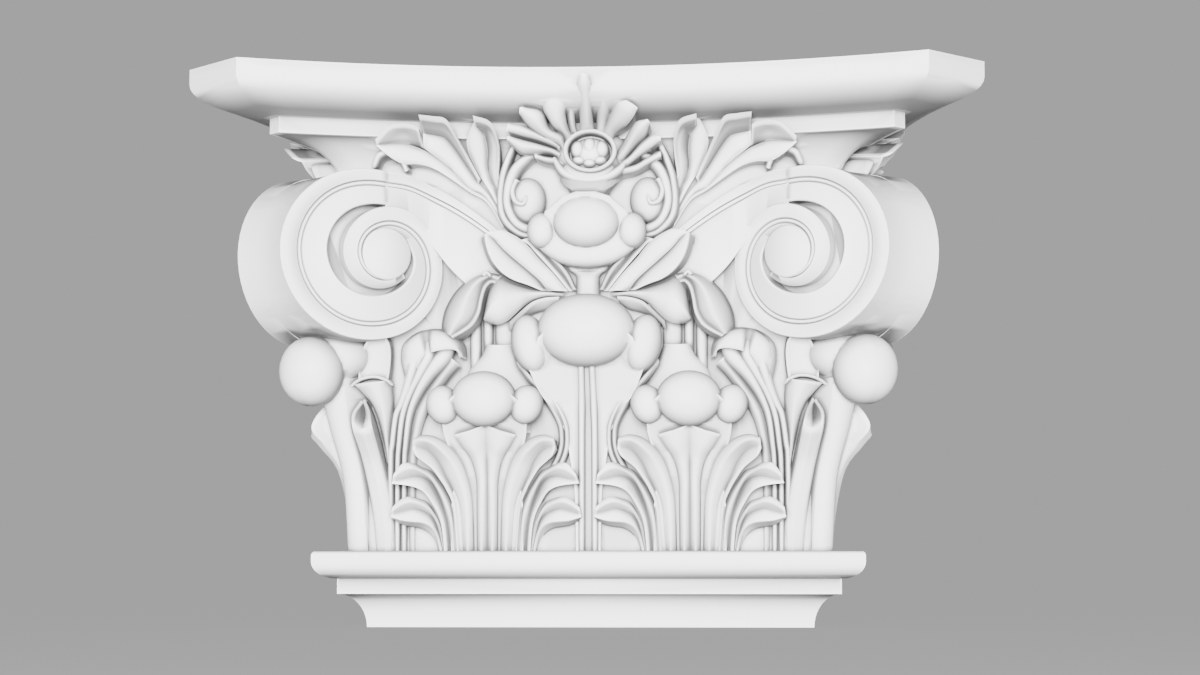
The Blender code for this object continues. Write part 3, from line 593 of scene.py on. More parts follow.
def make_low_leaf():
    """The low acanthus leaf: ribs, three folded lobes on each side and three balls above."""
    high = (
        ((8.5, 50, 162), (9.7, 81.7, 165), (12.2, 97.6, 168), (16.6, 110.2, 173), (22.2, 118.3, 178),
         (30.9, 125.3, 184), (39.6, 127.2, 188), (46.2, 125, 190)),
        ((12.9, 50, 167), (14.1, 81.5, 169), (17.2, 96.8, 173), (21.6, 107.4, 178), (26.8, 114.8, 184),
         (34.5, 121.6, 190), (41.3, 123.6, 193), (46.7, 122.6, 192)),
        ((17.8, 50, 160.5), (20, 79.7, 162.5), (23.8, 92.5, 165), (27.8, 101.3, 169.5),
         (32.1, 110.3, 174.5), (37.9, 117, 180.5), (42.8, 118.6, 185.5), (47, 119.6, 189.5)),
        ((20, 50, 166), (22.5, 79.6, 168), (26.6, 91.1, 171), (30.9, 98.6, 175), (35.7, 105.4, 179),
         (41.1, 109.8, 184), (45, 113.2, 188), (47.2, 117.7, 190)))
    middle = (
        ((20.4, 50, 161), (22.6, 78.4, 163), (27, 90, 166), (31.9, 98, 169), (36.6, 103.8, 173),
         (42.1, 106, 177), (48.2, 108.7, 181), (55, 108, 184), (60.4, 101.4, 184)),
        ((22.5, 50, 165), (24.2, 72, 167), (28, 83.5, 170), (32, 92, 173), (36.4, 99, 177),
         (41.5, 103, 181), (47.7, 105.3, 184), (54.4, 103.8, 185), (61, 98.9, 184)),
        ((25.3, 50, 160), (26.8, 66.9, 161.5), (29, 77.2, 163.5), (32.8, 87.4, 165.5), (36.8, 95.2, 169),
         (41.5, 99, 173), (47.7, 100.2, 176), (54, 98.8, 178.5), (61.6, 96.6, 181)),
        ((28.7, 50, 164), (30.3, 66.9, 166), (32.8, 75.8, 169), (36.3, 82.5, 172), (39, 87, 175),
         (42, 90.4, 178), (46.8, 92.9, 180), (53.4, 94.3, 181), (62.3, 95.2, 181)))
    low = (
        ((29.2, 50, 161), (31.4, 66.9, 163), (35.2, 76.5, 166), (39.3, 83, 169), (44.9, 85.4, 172),
         (51.7, 86.7, 175), (57.4, 84.3, 176), (62.5, 79.4, 176)),
        ((29.4, 50, 164), (31.6, 64.8, 166), (35, 73.6, 169), (38.6, 79.2, 172), (43.8, 82, 175),
         (50.5, 83.2, 177), (56.7, 81.2, 178), (62.9, 76.8, 176)),
        ((29.8, 50, 160.5), (32.3, 62.7, 161.5), (34.8, 70.2, 163.5), (37.9, 74.2, 165.5),
         (43, 77.1, 167.5), (49.3, 78.7, 169.5), (55.6, 77.1, 171), (63.3, 74.6, 173)),
        ((31.3, 50, 163), (33.5, 60.4, 165.5), (35.7, 65.4, 168), (39.2, 68.4, 170), (43.6, 69.9, 172),
         (49.3, 70.4, 173), (55.7, 71, 173), (63.6, 73.3, 173)),
        ((33.6, 50, 158), (35.4, 56.9, 159), (37.9, 61.1, 160), (41.1, 64.1, 161), (45.3, 66, 162),
         (50.7, 66.8, 163), (56.7, 68.2, 164), (63.9, 72.8, 169)))
    rib = (
        ((7.2, 50, 162), (7.2, 81.7, 164), (7.5, 97.7, 165), (10.3, 110.4, 169), (15.9, 119.6, 176),
         (20.4, 127.3, 183)),
        ((3.6, 50, 167), (3.7, 81.6, 168), (3.9, 97.6, 169), (5.1, 110.3, 173), (7.6, 119.1, 179),
         (10.7, 129.8, 185)),
        ((-0.6, 50, 162), (-0.6, 88.1, 164), (-0.6, 107.2, 167), (-0.6, 117.3, 172), (-0.6, 126.1, 177),
         (-0.6, 134.1, 182)))
    for side in (1, -1):
        for name, rails, swells in (("leaf_high", high, (0.1, 0.04, 0.1)),
                                    ("leaf_middle", middle, (0.1, 0.04, 0.1)),
                                    ("leaf_low", low, (0.1, 0.04, 0.1, 0.0)),
                                    ("leaf_rib", rib, (0.1, 0.05))):
            relief(name, [from_leaf_middle(side, rail) for rail in rails], swells)
    blade = ((0, 50, 160, 24, 4), (0, 78, 161, 24, 4), (0, 98, 162, 22, 4), (0, 115, 167, 23, 5),
             (0, 130, 176, 27, 6), (0, 140, 184, 28, 6))
    strand(FACE, "leaf_blade", [(LEAF_MIDDLE + row[0],) + row[1:] for row in blade], hollow)
    back = ((61, 130, 160, 22, 7), (61, 160, 162, 22, 8), (60.2, 172, 164, 19, 8),
            (59.6, 180.5, 165.5, 12.5, 7.5), (59.5, 189, 167, 8.9, 7))
    strand(FACE, "leaf_back", back, blunt=False)
    ball(FACE, "leaf_ball", (LEAF_MIDDLE, 150.8, 191), (21.6, 18.3, 17))
    for side in (1, -1):
        ball(FACE, "leaf_ball_side", (LEAF_MIDDLE + 27.5 * side, 147, 187), (11.2, 13, 12), 0.2 * side)


def make_plain_leaf():
    """The plain leaf that stands low on a side, where the front has its low acanthus leaf."""
    rows = ((LEAF_MIDDLE, 50, 158, 20, 5), (LEAF_MIDDLE, 90, 160, 22, 6), (LEAF_MIDDLE, 124, 164, 25, 8),
            (LEAF_MIDDLE, 146, 169, 21, 9), (LEAF_MIDDLE, 160, 171, 9, 6))
    strand(SIDE, "plain_leaf", rows, fluted, blunt=False)


def make_middle_leaf():
    """The tall middle leaf with its ribs, the S-shaped stems beside it and the big trio of balls."""
    blade = ((0, 50, 160, 8, 4), (0, 90, 161, 9, 5), (0, 112, 162, 12, 5), (0, 130, 163.5, 15, 6),
             (0, 146, 167, 22, 8), (0, 160, 174, 31, 10), (0, 176, 184, 38, 10))
    strand(FACE, "middle_leaf", blade, hollow)
    for side in (1, -1):
        rib = ((4.4, 50, 163, 2.4, 4.5), (4.4, 100, 164, 2.5, 5), (4.3, 130, 166, 2.5, 5),
               (4.0, 148, 171, 2.6, 4), (3.8, 160, 177.5, 2.5, 3.4), (3.6, 173, 186, 2.4, 3.4))
        strand(FACE, "middle_rib", [(side * row[0],) + row[1:] for row in rib])
    stem = ((34, 84, 159, 3.5, 4), (24, 102, 161, 4.2, 6), (17.2, 116, 163, 4.3, 7.5),
            (15.8, 128, 165, 4.2, 8), (18.2, 139, 167.5, 4.2, 8.5), (28, 156, 171, 4.6, 9),
            (38, 168.5, 172, 4.6, 8), (44, 175.5, 171, 4, 5))
    strand(FACE, "middle_stem", stem, fluted)
    ball(FACE, "middle_ball", (0, 195.9, 191), (32.6, 24.3, 24))
    ball(FACE, "middle_ball_side", (37.3, 187.3, 186), (12.6, 19.5, 16), 0.2)


def make_drooping_leaves():
    """The two lobes that droop beside the big balls, and the short stems under them."""
    rim = ((61.7, 229.1, 177), (65, 229.7, 180), (68.3, 225.4, 182), (70.3, 217.5, 184), (71.9, 208.4, 186),
           (76.2, 200.3, 188), (82.9, 195.4, 188), (89.8, 192.2, 186))
    relief("droop_outer", (
        [(across - 1.8, height - 1.8, depth - 10) for across, height, depth in rim],
        rim,
        ((60.4, 231.3, 175), (65.6, 232.1, 176), (70.2, 227.9, 178), (72.5, 219.8, 180), (74.6, 209.9, 182),
         (78.7, 202.4, 184), (84.7, 197.4, 185), (90.5, 193.1, 184)),
        ((59.2, 232.9, 175), (65, 233.7, 179), (72, 230.5, 184), (77.8, 222.8, 188), (81.3, 213.6, 191),
         (83.8, 205.3, 192), (87.9, 199.1, 190), (91.7, 193.9, 185)),
        ((57.7, 236.1, 166), (64.1, 237.5, 166), (72.4, 236.8, 166), (80.8, 232.9, 167), (89.8, 224.4, 168),
         (96.2, 212.8, 169), (98.4, 202.4, 170), (97.5, 195.8, 172))), (0.0, 0.05, 0.08, 0.14))
    relief("droop_inner", (
        ((16.2, 222.6, 168), (27.1, 224.4, 168), (36, 226.2, 168), (45, 229.6, 168), (52.6, 233.2, 168),
         (57.7, 235.4, 168), (62.3, 233.2, 170), (66.2, 225, 174), (68.3, 213.1, 178), (69.2, 205.4, 181)),
        ((16.3, 221.9, 174), (27.2, 222.6, 176), (36.3, 222.3, 179), (44.1, 221.7, 184), (51.2, 220.7, 188),
         (56.3, 218.7, 191), (60.1, 215.5, 192), (63.9, 211.3, 191), (66.7, 207.4, 188), (69, 204.6, 183)),
        ((16.2, 221, 170), (27.2, 220.5, 173), (36.3, 217.9, 176), (42.8, 213, 180), (47.9, 207.8, 182),
         (53, 203.2, 183), (58.1, 201, 183), (63.2, 201.2, 182), (67.1, 202.4, 181), (68.5, 203.6, 182))),
           (0.14, 0.14))
    relief("droop_under", (
        ((19.4, 220.6, 170), (27.8, 219.8, 172), (36.2, 217, 175), (42.1, 212, 178), (47.2, 207, 180),
         (51.6, 202.5, 181)),
        ((21.1, 216.2, 163), (27.6, 212.3, 164), (34.6, 210.4, 165), (41.1, 207.4, 166), (46.9, 203.2, 168),
         (52.4, 197.5, 170))), (0.12,))
    slit = ((69, 233.5, 178, 1.6, 8), (67.5, 236, 178, 1.5, 7), (65.2, 234, 178, 1.6, 8))
    strand(FACE, "droop_loop", slit)
    for across, half in ((76, 4), (67.5, 3.4), (56.5, 6.4)):
        stem = ((across, 150, 160, half, 4), (across, 180, 161, half, 5), (across, 212, 166, half, 5))
        strand(FACE, "droop_stem", stem)


def make_pointed_leaf():
    """The pointed leaf above the big balls, and the cup with its three balls."""
    relief("pointed_leaf", (
        ((13.6, 224.4, 169), (23.9, 236.6, 172), (32.4, 245.1, 175), (38.4, 252.5, 178), (44.4, 258, 180),
         (50.4, 261.5, 182), (57, 264, 184), (64.7, 263.2, 185)),
        ((27.2, 224.5, 169), (32.2, 231.2, 172), (38.8, 237, 175), (44.3, 241.5, 177), (49.7, 246, 179),
         (55.7, 251.2, 181), (61.1, 256.8, 183), (66.5, 261.8, 185)),
        ((27.9, 225.1, 166.5), (32.9, 232, 169), (39.5, 237.8, 172), (45, 242.3, 174), (50.4, 246.8, 176),
         (56.4, 251.8, 179), (61.6, 256.9, 182), (66.8, 261.6, 185)),
        ((31.1, 224.6, 173), (40.7, 228.3, 177), (49.1, 231, 180), (56.3, 235.4, 183), (61.7, 241.4, 185),
         (65.3, 248.3, 186), (67.4, 255.8, 187), (68, 261, 186)),
        ((31.9, 224.2, 160), (42.5, 227.8, 161), (51.9, 230.7, 162), (60.2, 235.8, 164), (66, 241.4, 166),
         (69.6, 249.1, 168), (71.5, 256.4, 170), (71.7, 261.7, 172))), (0.2, 0.0, 0.13, 0.0))
    relief("pointed_back", (
        ((7.6, 225.2, 168), (10.7, 232.8, 170), (14.9, 239.7, 172), (20.4, 244.1, 175), (25.3, 249.1, 178),
         (29, 252.8, 181)),
        ((9.4, 225, 173), (13.3, 233, 175), (18.6, 240.8, 177), (24.6, 246.4, 179), (29.7, 252.5, 181),
         (33, 257, 182)),
        ((11, 224.8, 165), (15.8, 233.2, 167), (23, 241.6, 169), (29, 249.2, 171), (35, 256.8, 173),
         (38.4, 260.3, 174)),
        ((13, 224.6, 168), (20.9, 234.6, 170), (28.4, 243.1, 173), (34.4, 249.5, 175), (39.4, 255, 177),
         (44.4, 258, 178))), (0.1, 0.05, 0.05))
    funnel = ((1, 212, 166, 6, 8), (1, 221, 168, 7, 9), (1, 230, 170, 6.8, 9), (1, 235, 170, 7.5, 7),
              (1, 238.5, 170, 12, 5), (1, 244, 172, 15, 5), (1, 246.5, 178, 22, 9), (1, 249, 182, 28, 11),
              (1, 253, 185, 32, 9), (1, 258, 187, 32, 7))
    strand(FACE, "cup", funnel, rounded)
    ball(FACE, "cup_ball", (0, 268.4, 190), (22.7, 18.3, 19))
    ball(FACE, "cup_ball_side", (29.8, 263, 186), (10.0, 11.9, 12))


def make_upper_leaf():
    """The half leaf that spreads from the scroll stem up over the abacus bands: three folded lobes."""
    relief("upper_low_blade", (
        ((57.5, 268, 166), (68.5, 285, 169), (79.5, 291.5, 173), (92, 300, 178), (103.5, 306.5, 183),
         (113.5, 308.5, 188), (122.5, 308, 192), (132, 313, 197), (139.2, 319, 200)),
        ((58, 270.5, 165), (69.5, 289, 167), (79.5, 294.3, 170), (89.5, 305, 174), (101, 313.5, 180),
         (110, 318.5, 185), (120, 321.5, 190), (129.3, 321.7, 195), (139.4, 319.6, 200))), (0.16,))
    relief("upper_low_fold", (
        ((109.4, 319.4, 184), (114.9, 320.8, 187), (120.5, 321.2, 190), (129.3, 320.8, 195),
         (138.8, 319, 200)),
        ((109.8, 322.4, 197), (115.1, 324.5, 199), (121.2, 326.2, 201), (129.2, 323.6, 203),
         (138.9, 319.7, 203)),
        ((109.9, 328.9, 212), (114.9, 330.6, 213.5), (120.9, 331.2, 214.5), (129.2, 329.5, 214),
         (139, 321.9, 207)),
        ((109.9, 328.4, 202), (114.9, 330, 203), (120.9, 330.6, 204), (129.2, 328.9, 204),
         (139, 321, 199))),
        (0.1, 0.05, 0.1))
    relief("upper_middle_blade", (
        ((57.9, 270, 165), (69.5, 289, 167), (79.5, 294.3, 170), (89.5, 305, 174), (98.5, 312, 179),
         (104.8, 316.4, 183), (109.6, 320, 185)),
        ((57, 273.5, 165), (67, 289.7, 167), (74.2, 298.3, 169), (82.5, 311, 173), (89.6, 321.7, 178),
         (96.6, 327.8, 183), (109.4, 332.5, 187))), (0.17,))
    relief("upper_middle_fold", (
        ((74.2, 297.3, 168), (83.2, 311, 174), (89.2, 319.9, 179), (95.1, 326.5, 184), (102.4, 328.2, 186),
         (109.3, 328.9, 188)),
        ((73.4, 299.1, 174), (82.2, 314.7, 184), (87.7, 324, 192), (93.4, 330.2, 198), (101.6, 331.6, 200),
         (109.2, 332.2, 200)),
        ((72.6, 300.1, 175), (80.7, 314.9, 190), (85.9, 324.6, 203), (91.5, 334, 213),
         (100.2, 335.7, 214.5), (109.6, 337, 213.5)),
        ((72, 300.4, 167), (80.3, 315.2, 181), (85.7, 324.6, 194), (91.6, 333.4, 203), (100.2, 335, 204),
         (109.8, 336.4, 203))), (0.1, 0.05, 0.06))
    relief("upper_high_blade", (
        ((56.4, 273, 166), (65, 290, 169), (72.5, 302, 171), (77.5, 311, 174), (80.4, 319, 178),
         (80.5, 327, 182), (74, 340.8, 187)),
        ((55.9, 274.6, 165), (61.4, 291.6, 167), (65.9, 301, 168), (68, 309.3, 171), (67.4, 318.9, 175),
         (68.9, 328.2, 180), (72.6, 333, 185))), (0.2,))
    relief("upper_high_fold", (
        ((55.9, 274.6, 165), (61.4, 291.6, 167), (65.9, 301, 168), (68, 309.3, 171), (67.4, 318.9, 175),
         (68.9, 328.2, 180), (73, 333, 185)),
        ((55.2, 275, 166), (59.6, 293, 169), (61.8, 302, 174), (61, 311, 181), (60, 321.5, 192),
         (63.8, 328.6, 198), (73.2, 330.8, 199)),
        ((54.5, 276, 165), (58.6, 293, 168), (60.2, 302, 175), (59, 311, 184), (58.4, 322.4, 200),
         (62.4, 332.2, 212), (73.5, 335.9, 214.5)),
        ((53.8, 276, 162), (57.4, 293, 164), (58.8, 302, 168), (57.8, 311, 175), (58.2, 322, 190),
         (62.4, 331.6, 202), (73.7, 335.2, 204))), (0.2, 0.06, 0.06))
    hugging = ((36, 261, 168, 2, 6), (47, 263.5, 169, 3, 8), (56, 273, 170, 3.2, 9),
               (58.4, 285, 171, 3.2, 9), (56.8, 300, 173.5, 3.2, 9), (53, 312, 178, 3, 8),
               (49.5, 320, 182, 2.2, 5))
    strand(FACE, "upper_strand", hugging)
    strand(FACE, "upper_curl", ((121, 305, 185, 2, 4), (122.8, 309.5, 187, 2.4, 5),
                                (127, 314.5, 188, 2.6, 5), (132.5, 316.3, 189, 2.6, 5),
                                (138.6, 314, 188, 2.6, 5), (142, 308, 186, 2.2, 4)))


def make_helix():
    """The small inner scroll: a bulb with a hooked groove and a band round its outer side."""
    band = ((28, 266, 167, 3, 8), (38, 265.5, 168, 4, 9), (48, 270, 169, 4.3, 10),
            (53.5, 281, 170.5, 4.5, 10.5), (53, 294, 172.5, 4.5, 10.5), (48.5, 305, 176, 4.5, 9),
            (41, 312, 180, 3.6, 7), (36, 314, 182, 2, 5))
    strand(FACE, "helix_band", band)
    ball(FACE, "helix_bulb", (40.5, 285.5, 171), (12.4, 15.5, 12.5))
    hook = ((47.5, 299, 174, 2.6, 8), (50.3, 291, 173.5, 2.8, 9), (47.8, 283.5, 173.5, 2.8, 10.5),
            (42.5, 282, 174, 2.8, 11.5), (40.5, 287, 174.5, 2.2, 11))
    strand(FACE, "helix_hook", hook)


def make_caulicole():
    """The stem beside the corner leaf that ends in a curled head under an arch."""
    lines = (
        ((133.2, 50, 157, 2.6, 5), (133.2, 109.9, 159, 2.6, 6), (131.9, 122.7, 161, 2.7, 6),
         (129.1, 140.5, 164, 2.8, 7), (125, 149.3, 167, 3, 7), (119.8, 161.7, 172, 3.8, 8),
         (116, 174.1, 177, 4.4, 8), (114, 184, 178, 4.2, 5)),
        ((128.4, 50, 157, 2.2, 5), (128.4, 105.5, 159, 2.2, 6), (127.1, 122.7, 161, 2.4, 7),
         (124.4, 141.7, 164.5, 2.8, 7), (118.6, 156.8, 169, 3.5, 8), (112.1, 169.2, 174, 4.6, 8),
         (106.5, 180, 178, 5.2, 7), (106, 186, 178, 4.6, 5)),
        ((123.9, 50, 157, 2.2, 5), (123.9, 105.5, 159, 2.2, 6), (122.7, 122.7, 161, 2.4, 7),
         (120.1, 141.1, 164, 2.8, 7), (114.8, 154.4, 168, 3.6, 8), (107, 167.4, 173, 5, 8),
         (97.4, 178.5, 178, 6, 7), (94, 185, 178, 5.4, 5)))
    for rows in lines:
        strand(FACE, "caulicole_ridge", rows)
    relief("caulicole_band", (
        ((115.5, 50, 156), (115.5, 109.9, 158), (112.5, 130.3, 160), (107.5, 144.1, 163),
         (99.8, 156.4, 167), (92, 166.8, 171), (85.2, 174, 174)),
        ((118, 50, 160), (118.2, 109.9, 162.5), (115.6, 131.3, 165), (110.6, 146.1, 169),
         (102.8, 158.4, 174), (95.2, 168.8, 178), (88.7, 177, 180)),
        ((121.6, 50, 157), (121.6, 109.9, 160), (119.1, 132.3, 162), (114.5, 148.1, 166),
         (106.8, 160.4, 170), (98.9, 171.2, 174), (92.3, 180, 177))), (0.16, 0.1))
    outer = ((82.2, 179, 168), (83, 188.6, 169), (89, 195.6, 170), (97.1, 198.9, 171), (103.4, 199.4, 171),
             (108.4, 198.8, 170), (113.4, 197.6, 171), (119.9, 193.5, 172), (124.8, 187.7, 172),
             (125.7, 179.1, 171), (124.6, 171.7, 169), (122.9, 164.8, 167))
    arch = ((84.9, 180, 178), (85.6, 187, 181), (91, 193, 183), (98.1, 195.9, 183), (103.4, 196.4, 182),
            (108, 195.4, 176), (112.4, 194.4, 182), (117.8, 190.8, 183), (121.3, 185.7, 183),
            (122, 179.1, 182), (120.9, 171.7, 180), (119.2, 165.3, 176))
    lip = ((85.4, 179, 178), (86.6, 183.2, 183), (91.5, 184.2, 186), (98, 183.4, 187), (103.4, 182.2, 186),
           (105.2, 181.6, 180), (107.5, 180.8, 185), (109.5, 178.2, 185), (111.2, 175.2, 184),
           (112.8, 172, 182), (114.2, 168.6, 179), (115.6, 165, 174))
    relief("caulicole_head", (outer, arch, lip), (0.1, 0.2), tuck=0.9)


def make_corner_leaf():
    """The leaf on the diagonal: a round stem with a ball, a tube on each face and a folded tab."""
    stem = ((0, 48, 154.3 * ROOT_TWO, 8.8, 8), (0, 100, 157.8 * ROOT_TWO, 8.6, 8),
            (0, 135, 165.8 * ROOT_TWO, 9.8, 8), (0, 160, 170.5 * ROOT_TWO, 12, 8),
            (0, 178, 173 * ROOT_TWO, 14, 8))
    strand(CORNER, "corner_stem", stem, rounded)
    relief("corner_tube", (
        ((127.4, 48, 154.5), (129.6, 76, 157), (135.2, 105.5, 160), (138.6, 122.6, 163),
         (141.7, 135.2, 168), (144.8, 144, 172), (149.3, 151.9, 174)),
        ((129.8, 48, 160), (132, 76, 162.5), (137.6, 105.5, 169), (140.4, 121.6, 179), (142.6, 133.4, 188),
         (145.4, 143, 185), (149.8, 151.2, 178)),
        ((135.6, 48, 163), (137.8, 76, 165.5), (143.4, 105.5, 172), (146.9, 121.6, 184), (148.6, 131, 189),
         (150.4, 141, 167), (150.5, 149.9, 174)),
        ((141.4, 48, 160), (143.6, 76, 162.5), (149.2, 105.5, 169), (153.2, 121.6, 179),
         (155.4, 132.4, 188), (155.8, 141.8, 185), (151.2, 150.8, 178)),
        ((143.8, 48, 154.5), (146, 76, 157), (151.3, 105.5, 160), (154.8, 122.6, 163), (156.8, 132, 168),
         (157, 142.1, 172), (151.8, 150.9, 174))), (0.12, 0.02, 0.02, 0.12))
    relief("corner_fold", (
        ((131.8, 50, 156), (131.9, 90, 158), (133.9, 112, 160), (132.7, 125.9, 162), (131, 141.7, 166),
         (130.6, 154.3, 170), (131.6, 164.2, 174)),
        ((133, 50, 158), (133, 90, 161), (134.7, 112, 165), (135.6, 125.7, 169), (137, 141.4, 174),
         (140.1, 155, 180), (142.5, 162.6, 184)),
        ((134, 50, 156), (134.2, 90, 158), (135.8, 112, 160), (138.6, 125.8, 163), (141.8, 140.3, 168),
         (147, 151.6, 172), (155.7, 161.4, 178))), (0.14, 0.14))
    relief("corner_tab", (
        ((133, 161.1, 166), (131.2, 176.2, 167), (131.1, 186.2, 168), (133.4, 193.3, 169),
         (140.1, 196.8, 170)),
        ((134.2, 161.1, 176), (132.2, 175.2, 177), (132.1, 185.2, 178), (134.4, 191.8, 179),
         (140.1, 195.1, 179)),
        ((136, 161.1, 175), (134.2, 175.2, 175.5), (134.2, 184.6, 176), (136.2, 190.4, 177),
         (140.3, 193.4, 178)),
        ((151.6, 161.1, 173), (151, 173, 173), (148.6, 183, 174), (145.6, 188.8, 176), (141, 192.8, 178)),
        ((153.6, 161.1, 175), (153, 173.2, 175.5), (150.7, 184, 177), (147.5, 190.6, 178),
         (141.3, 194.6, 179)),
        ((154.8, 160.1, 166), (154.4, 173.2, 166), (152.2, 185, 167), (148.8, 192.2, 169),
         (141.6, 196.2, 170))),
        (0.0, 0.0, -0.06, 0.0, 0.0))
    lip = ((157.5, 161.3, 173, 1.1, 3), (154, 163.4, 176, 1.3, 4), (148.5, 165.5, 179, 1.4, 4.5),
           (141.3, 166.3, 180, 1.4, 4.5), (135, 164.6, 178, 1.3, 4), (132, 162.4, 174, 1.1, 3))
    strand(FACE, "corner_lip", lip)
    ball(CORNER, "corner_ball", (0, 170, 183.5 * ROOT_TWO), (21.5, 23.5, 22), free=True)
    ball(CORNER, "corner_ball_root", (0, 181, 168 * ROOT_TWO), (21, 18, 24), free=True)


def make_flower():
    """The irregular flower on the middle of the abacus: petals round a cup with a bud in it."""
    petals = (
        (((-4.2, 327, 188), (-4, 333, 193), (-4, 343.6, 205), (-4.9, 354.6, 218), (-1.8, 361, 225)),
         ((0.8, 328, 192), (1.4, 333, 198), (1.2, 343.1, 210), (0.4, 354.2, 222), (0, 361.2, 226)),
         ((5.6, 327, 188), (5, 334, 193), (4.4, 343.4, 206), (5.2, 354.6, 218), (2.9, 360.6, 224))),
        (((5.8, 328, 186), (6.6, 335, 191), (7.2, 343, 201), (7.6, 350, 210), (9.4, 354, 215)),
         ((9.2, 328, 189), (10.4, 335, 196), (11.7, 342, 206), (11.8, 348, 213), (11.4, 354.2, 217)),
         ((13.4, 327, 186), (14.4, 334, 191), (16, 341, 201), (16.4, 347.5, 209), (13.4, 353.6, 215))),
        (((9.5, 328, 186), (12, 333.3, 190), (16.6, 340.3, 200), (20.3, 345.3, 208), (27.3, 345.2, 214)),
         ((13, 326, 190), (16.2, 330.3, 196), (22, 336.3, 206), (26, 340.4, 212), (31, 343.1, 215)),
         ((17, 322.5, 186), (19.4, 326.8, 190), (27.2, 331, 200), (32, 335.6, 208), (34.9, 340.4, 213))),
        (((19, 314, 186), (23, 319.2, 190), (27.9, 325.9, 198), (33.5, 332, 206), (41.2, 332.9, 212)),
         ((20.5, 311.5, 190), (25.4, 315.4, 195), (30.9, 321.9, 203), (36.5, 328, 210), (42, 332, 213)),
         ((22, 308, 186), (25.2, 310.4, 188), (33.8, 318.5, 194), (40.1, 323.9, 202), (43.2, 330.7, 210))),
        (((22, 309.5, 185), (28.5, 313.2, 188), (36.5, 321.2, 194), (43.8, 324.6, 200), (49.2, 323.2, 204)),
         ((22.5, 307.5, 188), (27.9, 310, 191), (36.2, 316.9, 197), (43.8, 321.4, 202), (49.8, 321.9, 205)),
         ((23, 304.5, 185), (27, 305.7, 186), (35.4, 311.7, 192), (43.9, 316.8, 198), (50, 320.5, 204))),
        (((17, 304.5, 184), (22, 305, 185), (32.7, 307.2, 187), (40.4, 311.2, 190), (49.3, 314.3, 195)),
         ((17.4, 302.8, 187), (22, 303, 188), (32.7, 304.8, 190), (40.4, 308.6, 193), (49.7, 312.6, 196)),
         ((18, 300, 184), (22, 300.4, 185), (32.7, 302.2, 187), (40.4, 306.2, 190), (49.8, 311, 195))),
        (((-13.5, 322, 186), (-16.7, 326.8, 190), (-22.2, 331.4, 198), (-27.7, 341.9, 206),
          (-24.9, 349.8, 212)),
         ((-10.5, 325, 190), (-14.2, 328.2, 196), (-18.3, 335.2, 204), (-20.2, 344.4, 211),
          (-23, 350.4, 214)),
         ((-8.5, 326, 186), (-11.5, 330.5, 192), (-13.4, 338.9, 202), (-12.4, 346.8, 208),
          (-20.8, 350.4, 213))),
        (((-14, 322, 186), (-15.7, 327.3, 190), (-24, 330.5, 196), (-28.6, 340.3, 204), (-41, 342.4, 210)),
         ((-15, 320, 190), (-17.2, 323.4, 195), (-26.3, 327.2, 201), (-33, 335, 209), (-42.6, 341.2, 213)),
         ((-15.5, 317, 186), (-18.8, 320.2, 190), (-28.2, 324.4, 196), (-37.5, 330.2, 202),
          (-43.3, 338.2, 210))),
        (((-17, 320, 185), (-21.1, 323.4, 189), (-31.3, 328.4, 195), (-40.6, 331.1, 201),
          (-50.5, 332.2, 206)),
         ((-18, 318.5, 188), (-21.5, 321, 192), (-31.7, 325.2, 198), (-41.7, 327.6, 204),
          (-51.4, 329.8, 208)),
         ((-18.5, 317, 185), (-21.9, 319, 188), (-32.1, 322.5, 194), (-42.9, 324.5, 200),
          (-52.4, 326.9, 206))),
        (((-17, 316, 184), (-22.7, 318.4, 188), (-32.9, 320.6, 194), (-42.3, 322.4, 199),
          (-50.9, 324.3, 204)),
         ((-18, 314, 188), (-23.9, 316.2, 192), (-33.4, 317.2, 197), (-42.4, 318.2, 202),
          (-51.5, 322.8, 206)),
         ((-19, 312, 184), (-25.1, 314.3, 186), (-33.9, 313.6, 190), (-42.5, 313.6, 196),
          (-51.9, 320.9, 203))),
        (((-16, 310.5, 183), (-19, 312, 184), (-22.1, 312.6, 185), (-28.1, 313.2, 187), (-34, 314.4, 190)),
         ((-16, 308.5, 186), (-19, 309.6, 187), (-22.1, 310.3, 189), (-28.1, 311, 191),
          (-34.4, 312.9, 191)),
         ((-16, 306, 183), (-19, 307, 184), (-22.1, 307.9, 185), (-28.1, 308.8, 187), (-34.2, 311.6, 190))),
        (((-10.5, 328, 186), (-12, 333, 190), (-12.4, 339, 196), (-11.4, 344, 201), (-8.4, 348.4, 205)),
         ((-8.5, 329, 188), (-9.4, 333, 193), (-9.8, 339, 199), (-9, 344, 204), (-7.8, 348.6, 206)),
         ((-6.5, 328, 186), (-7.2, 333, 190), (-7.4, 339, 196), (-6.6, 344, 201), (-6.8, 348.2, 205))),
    )
    for rails in petals:
        relief("petal", rails, (0.16, 0.16))
    neck = ((1.5, 277, 170, 13, 8), (1.5, 285, 174, 12.5, 10), (1.5, 292, 179, 14.5, 11),
            (1.5, 297, 184, 20, 11))
    strand(FACE, "flower_neck", neck, rounded)
    collar = ((-21.5, 311, 184, 2, 4), (-16.5, 303, 187, 3.2, 6), (-9, 298.2, 189, 3.8, 7),
              (2, 296.4, 190, 4, 7), (13, 298, 189, 3.8, 7), (21, 302.6, 187, 3.2, 6), (26, 309, 184, 2, 4))
    strand(FACE, "flower_collar", collar)
    ball(FACE, "flower_body", (2.6, 314.5, 176), (26, 18.5, 16))
    count = bpy.context.scene.capital_sizes.ball_segments
    rings = []
    for radius, lift in ((0.55, 180.0), (0.96, 194.0), (1.04, 202.0), (1.02, 205.0), (0.95, 206.2),
                         (0.87, 205.0), (0.82, 200.0), (0.8, 192.0)):
        ring = []
        for k in range(count):
            turn = 2 * math.pi * k / count
